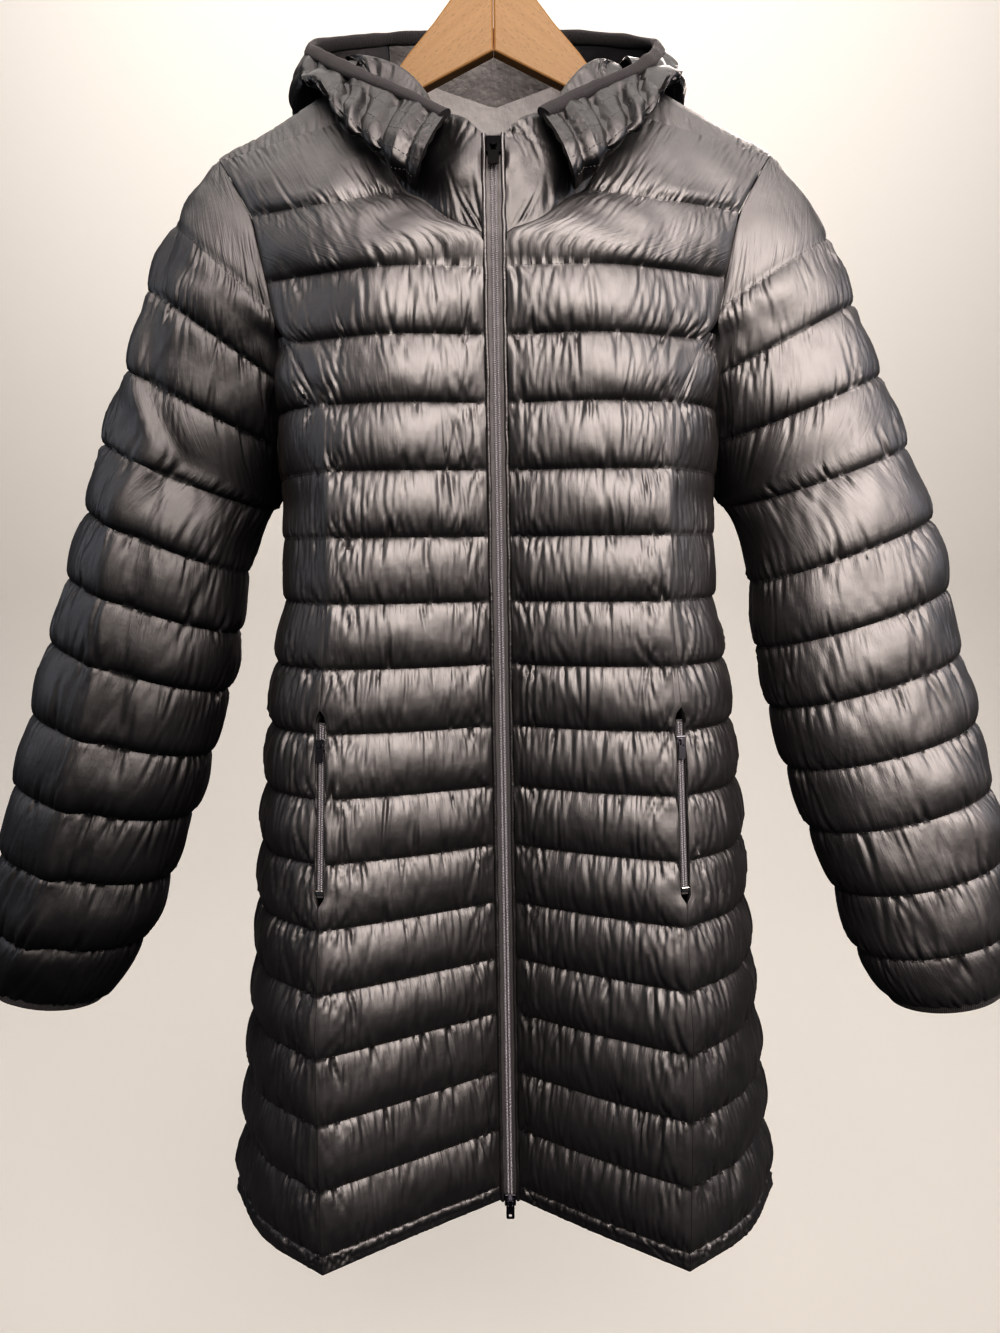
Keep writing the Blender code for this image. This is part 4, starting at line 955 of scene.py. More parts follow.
    @staticmethod
    def _bind(
        bm: bmesh.types.BMesh,
        route: list[tuple[int, int]],
        outer: list,
        inner: list,
        kept: tuple[list[int], list[int]],
        cols: int,
    ) -> None:
        """Joins the fine outer face to the plainer inner one along one edge."""
        rows, columns = kept
        row_at, column_at = {r: k for k, r in enumerate(rows)}, {c: k for k, c in enumerate(columns)}
        stops = [k for k, (r, c) in enumerate(route) if r in row_at and c in column_at]
        for a, b in zip(stops[:-1], stops[1:]):
            fine = [outer[r * cols + c] for r, c in route[a : b + 1]]
            plain = [inner[row_at[r] * len(columns) + column_at[c]] for r, c in (route[b], route[a])]
            bm.faces.new([*fine, *plain])


def lay_flat(bm: bmesh.types.BMesh, laid: list) -> None:
    """Gives a mesh being made its UV map, from one place on the cloth for each vertex."""
    bm.verts.index_update()
    layer = bm.loops.layers.uv.new("cloth")
    for face in bm.faces:
        for loop in face.loops:
            loop[layer].uv = laid[loop.vert.index]


def linked(obj: bpy.types.Object) -> bpy.types.Object:
    """The object, linked to the scene."""
    bpy.context.scene.collection.objects.link(obj)
    return obj


def piece_from(name: str, bm: bmesh.types.BMesh, sharp: float = 40) -> bpy.types.Object:
    """Turns a finished bmesh into a linked, smooth-shaded piece.

    Args:
        name: of the object and its mesh.
        bm: the shape, which is freed.
        sharp: angle in degrees past which an edge stays crisp.

    Returns:
        The new object, at the origin.
    """
    mesh = bpy.data.meshes.new(name)
    bm.to_mesh(mesh)
    bm.free()
    mesh.shade_smooth()
    mesh.set_sharp_from_angle(angle=math.radians(sharp))
    return linked(bpy.data.objects.new(name, mesh))


def swept(
    name: str,
    path: np.ndarray,
    across: np.ndarray,
    out: np.ndarray,
    profile: np.ndarray,
    ring: bool = False,
    sharp: float = 50,
) -> bpy.types.Object:
    """A closed outline carried along a path, as a piece with flat ends.

    Args:
        name: of the piece.
        path: points of its middle.
        across: unit direction of the outline's first axis at each point.
        out: unit direction of its second axis.
        profile: the outline, one row for each corner, or one such table for each point.
        ring: whether the path closes on itself.
        sharp: angle past which an edge stays crisp.

    Returns:
        The piece, whose UV map is metres along and metres round.
    """
    profile = np.broadcast_to(profile, (len(path), *np.shape(profile)[-2:]))
    profile = np.concatenate([profile, profile[:, :1]], 1)
    if ring:
        path, across, out, profile = (np.concatenate([a, a[:1]]) for a in (path, across, out, profile))
    grid = path[:, None] + across[:, None] * profile[..., :1] + out[:, None] * profile[..., 1:]
    rows, cols = grid.shape[:2]
    bm = bmesh.new()
    verts = bmesh.ops.create_grid(bm, x_segments=cols - 1, y_segments=rows - 1, size=0.5)["verts"]
    for vert, place in zip(verts, grid.reshape(-1, 3)):
        vert.co = place
    lay_flat(bm, np.stack([np.repeat(run_length(path), cols), run_length(grid, 1).ravel()], -1).tolist())
    joins = {verts[r * cols + cols - 1]: verts[r * cols] for r in range(rows)}
    if ring:
        joins |= {verts[(rows - 1) * cols + c]: verts[c] for c in range(cols - 1)}
        joins[verts[rows * cols - 1]] = verts[0]
    bmesh.ops.weld_verts(bm, targetmap=joins)
    if not ring:
        bmesh.ops.holes_fill(bm, edges=[e for e in bm.edges if e.is_boundary], sides=0)
    bmesh.ops.recalc_face_normals(bm, faces=bm.faces[:])
    return piece_from(name, bm, sharp)


def repeated(name: str, size: Sequence[float], places: np.ndarray) -> bpy.types.Object:
    """One piece made of a small rounded bead laid down many times.

    Args:
        name: of the piece.
        size: length, width and height of a bead.
        places: a 3 × 4 matrix for each time.

    Returns:
        The piece.
    """
    bead = bmesh.new()
    bmesh.ops.create_icosphere(bead, subdivisions=1, radius=0.5)
    bmesh.ops.scale(bead, vec=size, verts=bead.verts[:])
    bead.verts.index_update()
    corners = np.array([v.co for v in bead.verts])
    sides = [np.array([v.index for v in face.verts]) for face in bead.faces]
    bead.free()
    points = np.einsum("kij,nj->kni", places[:, :, :3], corners) + places[:, None, :, 3]
    faces = [list(side + k * len(corners)) for k in range(len(places)) for side in sides]
    mesh = bpy.data.meshes.new(name)
    mesh.from_pydata(points.reshape(-1, 3), [], faces)
    mesh.shade_smooth()
    return linked(bpy.data.objects.new(name, mesh))


def turned(along: np.ndarray, out: np.ndarray, place: np.ndarray) -> np.ndarray:
    """3 × 4 matrices whose X follows along, whose Z follows out, and whose origins are places."""
    along = unit(along)
    side = unit(np.cross(out, along))
    return np.stack([along, side, np.cross(along, side), place], -1)


# ---------------------------------------------------------------- the coat's panels


def shared(first: Patch, u_first: float, second: Patch, u_second: float, low: float = HORN) -> Curve:
    """The direction that two patches share along a seam; above low, the first patch's own."""

    def at(line: np.ndarray) -> np.ndarray:
        """Unit directions along the seam."""
        own = first.normal(np.full(len(line), float(u_first)), line)
        other = second.normal(np.full(len(line), float(u_second)), np.maximum(line, low))
        return np.where((line >= low)[:, None], unit(own + other), own)

    return at


def pocket_gap(lines: np.ndarray) -> np.ndarray:
    """Half the width of a princess seam: a seam's gap, opened where the pocket zip is set in."""
    inside = (lines > POCKET_TOP) & (lines < POCKET_END)
    return np.where(inside, POCKET_HALF, SEAM_GAP)


def beside_seam(points: np.ndarray, end: int) -> tuple[np.ndarray, np.ndarray]:
    """How near each point is to an end column, from 1 to 0, and what a seam there leaves of the swell."""
    reach = np.linalg.norm(points - points[:, [end]], axis=-1) / SEAM_REACH
    return np.clip(1 - reach, 0, 1)[..., None], AT_SEAM + (1 - AT_SEAM) * np.clip(reach, 0, 1) ** 0.7


@dataclass
class Layout:
    """How a patch is laid out as a grid: its edges' directions, gaps and seams."""

    patch: Patch
    cols: int
    lines: np.ndarray
    ends: tuple[Curve | None, Curve | None] = (None, None)
    gaps: tuple[np.ndarray | float, np.ndarray | float] = (0.0, 0.0)
    seams: tuple[np.ndarray | bool, np.ndarray | bool] = (True, True)

    def grid(self) -> tuple[np.ndarray, np.ndarray, np.ndarray]:
        """Points, unit normals and what its seams leave of the swell, for the coarse grid."""
        u, line = np.meshgrid(np.linspace(0, 1, self.cols), self.lines)
        points, normals = self.patch.point(u, line), self.patch.normal(u, line)
        seam = np.ones(u.shape)
        shift = np.zeros(points.shape)
        for end, beside, given, gap, sewn in zip((0, -1), (1, -2), self.ends, self.gaps, self.seams):
            near, left = beside_seam(points, end)
            if given is not None:
                normals = unit(given(self.lines)[:, None] * near + normals * (1 - near))
            sewn = np.broadcast_to(sewn, self.lines.shape)[:, None]
            seam *= np.where(sewn, left, 1)
            along = unit(points[:, beside] - points[:, end])
            gap = np.ones(len(self.lines)) * gap
            shift += near**2 * (along * gap[:, None])[:, None]
        return points + shift, normals, seam


@dataclass
class Body:
    """The body of the coat: two fronts, two sides and a back, from the shoulders to the hem."""

    puff: float = 0.0072
    wall: float = 0.005
    front_cols: int = 34
    back_cols: int = 38
    side_cols: tuple[int, int] = (20, 30)
    halves: dict[int, dict[str, Patch]] = field(init=False)

    def __post_init__(self) -> None:
        """Lays the columns out."""
        self.halves = {side: half_of_body(side) for side in (-1, 1)}

    def quilts(self) -> list[Quilt]:
        """Every padded panel of the body, not yet swollen."""
        made = [self._back()]
        for side, word in ((-1, "left"), (1, "right")):
            made += [self._front(side, word), self._side(side, word)]
        return made

    def _front(self, side: int, word: str) -> Quilt:
        """One front, from the neck and zip to the princess seam."""
        patches = self.halves[side]
        lines = stitched_rows(0, 18, Quilt.COARSE)
        join = shared(patches["front"], 1, patches["side_front"], 0)
        forward = np.array([0.0, -1.0, 0.0])
        ends = (lambda line: np.broadcast_to(forward, (len(line), 3)), join)
        gaps = (SEAM_GAP, pocket_gap(lines))
        grid = Layout(patches["front"], self.front_cols, lines, ends, gaps).grid()
        fill = np.interp(lines, (0, 0.5, 1.2), (0.6, 0.8, 1.0))[:, None]
        puckers = Puckers(seed=11 if side < 0 else 29)
        return Quilt(f"front_{word}", lines, *grid, fill, self.puff, self.wall, puckers)

    def _side(self, side: int, word: str) -> Quilt:
        """One side, which is split by the armhole above the armpit."""
        patches = self.halves[side]
        lines = stitched_rows(SIDE_TOP, 18, Quilt.COARSE)
        front, back = patches["side_front"], patches["side_back"]

        def under_the_arm(own: Patch, u: float) -> Curve:
            """The patch's own direction at the armhole, and both halves' together below it."""

            def at(line: np.ndarray) -> np.ndarray:
                """Unit directions along the edge."""
                ones = np.ones(len(line))
                joined = unit(front.normal(ones, line) + back.normal(ones * 0, line))
                return np.where((line >= ARMPIT)[:, None], joined, own.normal(ones * u, line))

            return at

        open_rows = lines < ARMPIT
        hole = np.where(open_rows, 1.5 * SEAM_GAP, 0.0)
        joins = shared(patches["front"], 1, front, 0), shared(patches["back"], 1, back, 1)
        ends = (joins[0], under_the_arm(front, 1)), (under_the_arm(back, 0), joins[1])
        gaps = (pocket_gap(lines), hole), (hole, SEAM_GAP)
        before = Layout(front, self.side_cols[0], lines, ends[0], gaps[0], (True, open_rows)).grid()
        behind = Layout(back, self.side_cols[1], lines, ends[1], gaps[1], (open_rows, True)).grid()
        grid = (np.concatenate(pair, 1) for pair in zip(before, behind))
        fill = np.interp(lines, (3.5, 4.5, ARMPIT, 6.5, 8), (1, 0.7, 0.3, 0.5, 1))[:, None]
        puckers = Puckers(seed=43 if side < 0 else 57)
        sewn = {"slit": self.side_cols[0] - 1, "sewn_from": ARMPIT}
        return Quilt(f"side_{word}", lines, *grid, fill, self.puff, self.wall, puckers, **sewn)

    def _back(self) -> Quilt:
        """The back, which is split by the neck above its lowest point."""
        lines = stitched_rows(-1, 18, Quilt.COARSE)
        neck = lines < BACK_NECK_END
        parts = []
        for side in (-1, 1):
            patch = self.halves[side]["back"]

            def centre(line: np.ndarray, patch: Patch = patch) -> np.ndarray:
                """Unit directions down the middle of the back, straight behind where it is one piece."""
                own = patch.normal(np.zeros(len(line)), line)
                own[line >= BACK_NECK_END, 0] = 0.0
                return unit(own)

            join = shared(patch, 1, self.halves[side]["side_back"], 1)
            gaps = (np.where(neck, SEAM_GAP, 0.0), SEAM_GAP)
            parts.append(Layout(patch, self.back_cols, lines, (centre, join), gaps, (neck, True)).grid())
        left, right = parts
        grid = (np.concatenate([a[:, ::-1], b], 1) for a, b in zip(left, right))
        fill = np.interp(lines, (-1, 0, 1, 2), (0.45, 0.5, 0.55, 1))[:, None]
        sewn = {"slit": self.back_cols - 1, "sewn_from": BACK_NECK_END}
        return Quilt("back", lines, *grid, fill, self.puff, self.wall, Puckers(seed=71), **sewn)


@dataclass
class Sleeve:
    """A sleeve: rings round the arm, whose first rows open into the armhole."""

    side: int
    patches: dict[str, Patch]
    puff: float = 0.0054
    wall: float = 0.005
    cols: int = 84

    # The ridge down the left sleeve's outer front, and the flatter cloth inside it
    FOLDS = (
        Fold(0.140, 0.014, 0.0045, -0.058),
        Fold(0.118, 0.012, -0.0030, -0.049),
    )

    @property
    def word(self) -> str:
        """Which sleeve it is."""
        return "left" if self.side < 0 else "right"

    def ring(self, angle: np.ndarray, line: np.ndarray) -> np.ndarray:
        """Points of the full ring: angle 0 is the underarm, and the front comes next."""
        rings = np.array(SLEEVE_RINGS[self.side], float)
        x, y, z, half_width, half_depth, tilt = np.moveaxis(hermite(rings[:, 0], rings[:, 1:], line), -1, 0)
        tilt = np.radians(tilt)
        across, forward = half_width * np.cos(angle), half_depth * np.sin(angle)
        ring = (self.side * (x - across * np.cos(tilt)), y - forward, z - across * np.sin(tilt))
        return np.stack(ring, -1) * MM

    def armhole(self, line: np.ndarray, behind: bool) -> tuple[np.ndarray, np.ndarray]:
        """The armhole's front or back edge at the body's lines, and the body's normals there."""
        high, low = (("back", "side_back"), ("front", "side_front"))[not behind]
        above, below = self.patches[high], self.patches[low]
        edge = 0.0 if behind else 1.0
        on_horn = np.maximum(line, HORN)
        is_above = (line < HORN)[:, None]
        ones = np.ones(len(line))
        points = np.where(is_above, above.point(ones, line), below.point(ones * edge, on_horn))
        normals = np.where(is_above, above.normal(ones, line), below.normal(ones * edge, on_horn))
        return points, normals

    def shoulder_tip(self, shares: np.ndarray) -> tuple[np.ndarray, np.ndarray]:
        """Over the tip of the shoulder, from the armhole's front to its back, and the normals there."""
        keys = np.linspace(-1, 0, 9)
        back = self.patches["back"]
        edge, normals = back.point(np.ones(9), keys), back.normal(np.ones(9), keys)
        normals[0] = unit(normals[0] + self.patches["front"].normal(np.ones(1), np.zeros(1))[0])
        at = shares - 1
        return sampled(at, keys, edge), unit(sampled(at, keys, normals))

    def rows(self, shares: np.ndarray, lines: np.ndarray) -> np.ndarray:
        """Points row by row. shares go round from the armhole's front edge to its back edge."""
        arc, _ = self.shoulder_tip(shares)
        body_lines = np.interp(lines, CAP_LINES, CAP_ENDS)
        ends = [self.armhole(body_lines, behind)[0] for behind in (False, True)]
        rows = []
        for k, line in enumerate(lines):
            start = np.interp(max(line, 1), CAP_LINES, CAP_OPENING)
            angle = start + (2 * math.pi - 2 * start) * shares
            row = self.ring(angle, np.full(len(shares), max(line, 1.0)))
            if line < 1:
                bulge = 0.002 * math.sin(math.pi * line) * np.sin(math.pi * shares)
                row = arc + (row - arc) * line + bulge[:, None] * np.array([self.side * 0.8, 0, 0.6])
            settle = np.clip((SLEEVE_SETTLED - line) / (SLEEVE_SETTLED - SLEEVE_ARMPIT), 0, 1)
            settle = settle * settle * (3 - 2 * settle)
            for end, edge, reach in ((0, ends[0][k], 1 - 2 * shares), (-1, ends[1][k], 2 * shares - 1)):
                row = row + (settle * np.clip(reach, 0, 1) ** 2)[:, None] * (edge - row[end])
            rows.append(row)
        return np.stack(rows)

    def quilt(self) -> Quilt:
        """The sleeve's padded panel, not yet swollen."""
        shares = np.linspace(0, 1, self.cols)
        lines = stitched_rows(0, 12, Quilt.COARSE)
        points = self.rows(shares, lines)
        cap = lines < SLEEVE_ARMPIT
        across, down = np.gradient(points, axis=1), np.gradient(points, axis=0)
        wrap = (points[~cap, 1] - points[~cap, -2]) / 2
        across[~cap, 0] = across[~cap, -1] = wrap
        normals = unit(np.cross(across, down))
        normals *= np.sign((normals * (points - points.mean(axis=1, keepdims=True))).sum())
        sewn = np.interp(lines[cap], CAP_LINES, CAP_ENDS)
        normals[0] = self.shoulder_tip(shares)[1]
        seam = np.ones(points.shape[:2])
        for end, behind in ((0, False), (-1, True)):
            near, left = beside_seam(points, end)
            near = near[cap]
            body = self.armhole(sewn, behind)[1][:, None]
            normals[cap] = unit(body * near + normals[cap] * (1 - near))
            seam *= np.where(cap[:, None], left, 1)
            beside = 1 if end == 0 else -2
            along = unit(points[:, beside] - points[:, end])
            gap = np.select([lines < 0.5, cap], [5 * PIECE_GAP, 3.5 * PIECE_GAP], 0)
            points[cap] += near**2 * (along * gap[:, None])[cap][:, None]
        out_of_pit = np.interp(lines, (3.0, SLEEVE_ARMPIT, 4.6), (0.0, 0.0048, 0.0))
        round_it = np.minimum(shares, 1 - shares)
        points[..., 0] += self.side * out_of_pit[:, None] * np.clip(1 - round_it / 0.12, 0, 1)
        keys = (SLEEVE_ARMPIT - 1, SLEEVE_ARMPIT, SLEEVE_SETTLED, 6.5)
        pressed = np.interp(lines, keys, (1, 0.2, 0.35, 1))[:, None]
        near_body = np.clip(1 - round_it / 0.14, 0, 1)
        fill = 1 - near_body * (1 - pressed)
        fill *= np.interp(lines, (0, 1, 1.5), (0.55, 0.8, 1.0))[:, None]
        puckers = Puckers(seed=83 if self.side < 0 else 97, long_reach=(0.016, 0.046), fan_count=4)
        cloth = {"closed": True, "sewn_from": SLEEVE_ARMPIT, "slack": 0.25, "lumpy": 0.0016}
        cloth |= {"lump_size": 0.09, "folds": () if self.side > 0 else self.FOLDS}
        name = f"sleeve_{self.word}"
        return Quilt(name, lines, points, normals, seam, fill, self.puff, self.wall, puckers, **cloth)


@dataclass
class Hood:
    """The hood, fallen open behind the neck: two sides, a centre and the bound rim."""

    puff: float = 0.0062
    wall: float = 0.004
    side_cols: int = 62
    centre_cols: int = 38

    CLOTH = {"slack": 0.4, "lumpy": 0.0012, "lump_size": 0.06, "bare": 0.12, "thins": 3.0}
    # place, width and rise in metres; slant in metres over the whole height
    FOLDS = (
        Fold(0.010, 0.0034, -0.0030, 0.006),
        Fold(0.019, 0.0040, 0.0020, 0.008),
        Fold(0.031, 0.0044, -0.0044, 0.016),
        Fold(0.052, 0.0050, -0.0048, 0.024, 0.0, 0.9),
        Fold(0.064, 0.0060, 0.0026, 0.020, 0.1, 0.9),
        Fold(0.076, 0.0046, -0.0046, 0.030, 0.1, 1.0),
        Fold(0.104, 0.0056, -0.0048, 0.026, 0.1, 1.0),
        Fold(0.137, 0.0060, -0.0044, 0.020, 0.2, 1.0),
        Fold(0.158, 0.0080, 0.0024, 0.016, 0.3, 1.0),
        Fold(0.178, 0.0060, -0.0040, -0.018, 0.1, 0.8),
        Fold(0.212, 0.0070, -0.0036, 0.016, 0.3, 1.0),
        Fold(0.245, 0.0070, -0.0030, -0.012, 0.1, 0.7),
    )

    @staticmethod
    def column(name: str, side: int) -> Curve:
        """One of the hood's columns, which lean to the left towards the rim."""
        points = np.array(HOOD_COLUMNS[name], float) * MM
        leaning = np.linspace(0, 1, len(points)) ** 0.7
        points[:, 0] = side * points[:, 0] + HOOD_LEAN.get(name, 0.0) * HOOD_LEAN_WIDTH * leaning
        keys = np.linspace(0, HOOD_CHANNELS, len(points))
        return lambda line: hermite(keys, points, line)

    def quilts(self) -> list[Quilt]:
        """The hood's three padded panels, in order from the left side to the right one."""
        lines = stitched_rows(0, HOOD_CHANNELS, Quilt.COARSE)
        across = [self.column("back_side", -1), self.column("centre", 1), self.column("back_side", 1)]
        centre = Patch(across, (0, HOOD_CHANNELS), (0, 1, -0.5))
        sides = [
            Patch([self.column(n, s) for n in HOOD_SIDE], (0, HOOD_CHANNELS), (0.3 * s, -0.6, 0.8))
            for s in (-1, 1)
        ]
        joins = [shared(sides[k], 1, centre, float(k), low=-1) for k in (0, 1)]
        gap = 1.5 * PIECE_GAP
        layouts = (
            ("hood_side_left", Layout(sides[0], self.side_cols, lines, (None, joins[0]), (gap, gap)), 103),
            ("hood_centre", Layout(centre, self.centre_cols, lines, tuple(joins), (gap, gap)), 107),
            ("hood_side_right", Layout(sides[1], self.side_cols, lines, (None, joins[1]), (gap, gap)), 109),
        )
        made = []
        for node, layout, seed in layouts:
            fill = np.interp(lines, (0, 0.5, 1, 4, 5), (0.7, 0.85, 1, 1, 0.5))[:, None]
            puckers = Puckers(seed, 0.011, (0.010, 0.034), (0.0008, 0.0020), strength=0.9)
            draped = node != "hood_centre"
            puff = self.puff * (0.4 if draped else 1.0)
            folds = self.FOLDS if draped else ()
            # The hood's panels take the less glossy copy of the shell cloth: painted shade
            cloth = self.CLOTH | {"folds": folds, "finish": Finishes.SHADED_SHELL}
            made.append(Quilt(node, lines, *layout.grid(), fill, puff, self.wall, puckers, **cloth))
        return made

    @staticmethod
    def rim(cloths: list[FineCloth]) -> tuple[np.ndarray, np.ndarray, np.ndarray]:
        """The hood's edge from its left front to its right front, with its outward and upward ways."""
        points, outward, upward = [], [], []
        for cloth, order in zip(cloths, (slice(None), slice(None), slice(None, None, -1))):
            middle = (cloth.points[-1] + cloth.inner[-1]) / 2
            rise = cloth.points[-1] - cloth.points[-6]
            trimmed = slice(2, -2)
            points.append(middle[order][trimmed])
            outward.append(cloth.outward[-1][order][trimmed])
            upward.append(unit(rise)[order][trimmed])
        points, outward, upward = (np.vstack(v) for v in (points, outward, upward))
        keys = run_length(points)
        at = np.linspace(0, keys[-1], 220)
        smooth = [sampled(at, keys, v) for v in (points, outward, upward)]
        for _ in range(6):
            for v in smooth:
                v[1:-1] = (v[:-2] + 2 * v[1:-1] + v[2:]) / 4
        path, out, up = smooth
        along = unit(np.gradient(path, axis=0))
        out = squared(out, along)
        return path, out, squared(up, along, out)


def neck_seam(side: int, share: np.ndarray) -> np.ndarray:
    """The right or left half of the neck seam, from the zip (0) over the shoulder to the back (1)."""
    edge, centre = zip_edge(side), column(NECK_AND_BACK_CENTRE, side)
    path = np.vstack([edge(np.linspace(1.85, 0, 40)), centre(np.linspace(-1, BACK_NECK_END, 40))[1:]])
    length = run_length(path)
    return sampled(share * length[-1], length, path)


@dataclass
class Collar:
    """The stand collar inside the hood: two fronts that meet at the zip, and a back."""

    puff: float = 0.0012
    wall: float = 0.003
    split: float = 0.6
    slump: float = 0.022

    def grid(self, side: int, shares: np.ndarray, rise: np.ndarray) -> tuple[np.ndarray, np.ndarray]:
        """Points from the neck seam up to the top edge, and the way inwards at each share."""
        base = neck_seam(side, shares)
        inwards = unit(np.stack([-base[:, 0], -0.02 - base[:, 1], np.zeros(len(base))], -1))
        base = base + inwards * 0.0014 + np.array([0, 0, 0.0018])
        rows = np.array(COLLAR_TOP, float)
        top = hermite(rows[:, 0], rows[:, 1:], shares) * MM
        top[:, 0] = side * top[:, 0] + zip_centre(1.0) * np.clip(1 - shares / 0.2, 0, 1)
        if side < 0:
            slumped = np.exp(-(((shares - 0.58) / 0.08) ** 2)) * self.slump
            top += slumped[:, None] * [-1.0, 0.0, 0.25]
        points = base + (top - base) * rise[:, None, None]
        points = points - inwards * (np.sin(math.pi * rise) * 0.002)[:, None, None]
        return points, inwards

    def quilts(self) -> list[Quilt]:
        """The collar's panels. They hold hardly any down, so they aren't blown up."""
        lines = stitched_rows(0, 1, 16)
        made = []
        for side, word, seed in ((-1, "left", 113), (1, "right", 127)):
            shares = np.linspace(0, self.split - 0.004, 40)
            points, inwards = self.grid(side, shares, lines)
            points[..., 0] += side * SEAM_GAP * np.clip(1 - shares / 0.05, 0, 1)
            made.append(self._panel(f"collar_front_{word}", lines, points, inwards, seed))
        halves = [self.grid(side, np.linspace(self.split, 1, 30), lines) for side in (-1, 1)]
        points = np.concatenate([halves[0][0], halves[1][0][:, -2::-1]], 1)
        inwards = np.concatenate([halves[0][1], halves[1][1][-2::-1]])
        inwards[len(halves[0][1]) - 1, 0] = 0.0
        made.append(self._panel("collar_back", lines, points, unit(inwards), 131))
        return made

    def _panel(
        self, node: str, lines: np.ndarray, points: np.ndarray, inwards: np.ndarray, seed: int
    ) -> Quilt:
        """One panel of the collar as a quilt of one shallow channel."""
        outward = np.broadcast_to(-inwards, points.shape).copy()
        ends = np.minimum(run_length(points, 1), run_length(points[:, ::-1], 1)[:, ::-1])
        seam = np.clip(0.3 + ends / 0.02, 0, 1)
        creases = (0.020, (0.008, 0.030), (0.0004, 0.0012), (0.0020, 0.0036))
        puckers = Puckers(seed, *creases, short_depth=0.0004, fan_count=7)
        cloth = {"blown": False, "lumpy": 0.0018, "lump_size": 0.04, "fine_rows": 40, "kind": "cloth"}
        # The collar takes the less glossy copy of the shell cloth: painted shade
        cloth["finish"] = Finishes.SHADED_SHELL
        return Quilt(node, lines, points, outward, seam, np.ones(1), self.puff, self.wall, puckers, **cloth)


# ---------------------------------------------------------------- finishes


def linear(colour: str) -> tuple[float, float, float, float]:
    """An sRGB hex colour as linear red, green, blue and alpha."""
    parts = [int(colour[k : k + 2], 16) / 255 for k in (1, 3, 5)]
    red, green, blue = (c / 12.92 if c <= 0.04045 else ((c + 0.055) / 1.055) ** 2.4 for c in parts)
    return red, green, blue, 1.0


def connect(tree: bpy.types.NodeTree, node: bpy.types.Node, links: dict) -> None:
    """Feeds a node's inputs, by name or number, from sockets or from the first outputs of nodes."""
    for key, source in links.items():
        output = source.outputs[0] if isinstance(source, bpy.types.Node) else source
        tree.links.new(output, node.inputs[key])


def add_node(
    tree: bpy.types.NodeTree, kind: str, settings: dict | None = None, links: dict | None = None
) -> bpy.types.Node:
    """Adds one node to a material.

    Args:
        tree: the node tree.
        kind: the node's type name, without ShaderNode.
        settings: values for its properties, or for its sockets by name or number.
        links: sockets or nodes that feed its inputs, by name or number.

    Returns:
        The node.
    """
    made = tree.nodes.new("ShaderNode" + kind)
    for key, value in (settings or {}).items():
        if isinstance(key, str) and hasattr(made, key):
            setattr(made, key, value)
        else:
            made.inputs[key].default_value = value
    connect(tree, made, links or {})
    return made


@dataclass(frozen=True)
class Finish:
    """What every finish has: a name, a colour and how it takes the light."""

    name: str
    colour: str
    roughness: float
    metallic: float = 0.0

    def material(self) -> bpy.types.Material:
        """A new material with this finish's pattern."""
        made = bpy.data.materials.new(self.name)
        made.use_nodes = True
        tree = made.node_tree
        shader = tree.nodes["Principled BSDF"]
        for name, value in self.surface().items():
            shader.inputs[name].default_value = value
        connect(tree, shader, self.pattern(tree))
        return made

    def surface(self) -> dict[str, object]:
        """Values for the surface shader's sockets."""
        return {"Base Color": linear(self.colour), "Roughness": self.roughness, "Metallic": self.metallic}

    def pattern(self, tree: bpy.types.NodeTree) -> dict[str, object]:
        """Adds this finish's nodes. A plain finish keeps a faint unevenness in its gloss.

        Args:
            tree: the material's node tree.

        Returns:
            What feeds the surface shader's sockets.
        """
        place = add_node(tree, "TexCoord").outputs["Object"]
        noise = add_node(tree, "TexNoise", {"Scale": 160.0, "Detail": 3.0}, {"Vector": place})
        spread = {"To Min": self.roughness * 0.8, "To Max": self.roughness * 1.25}
        return {"Roughness": add_node(tree, "MapRange", spread, {"Value": noise})}


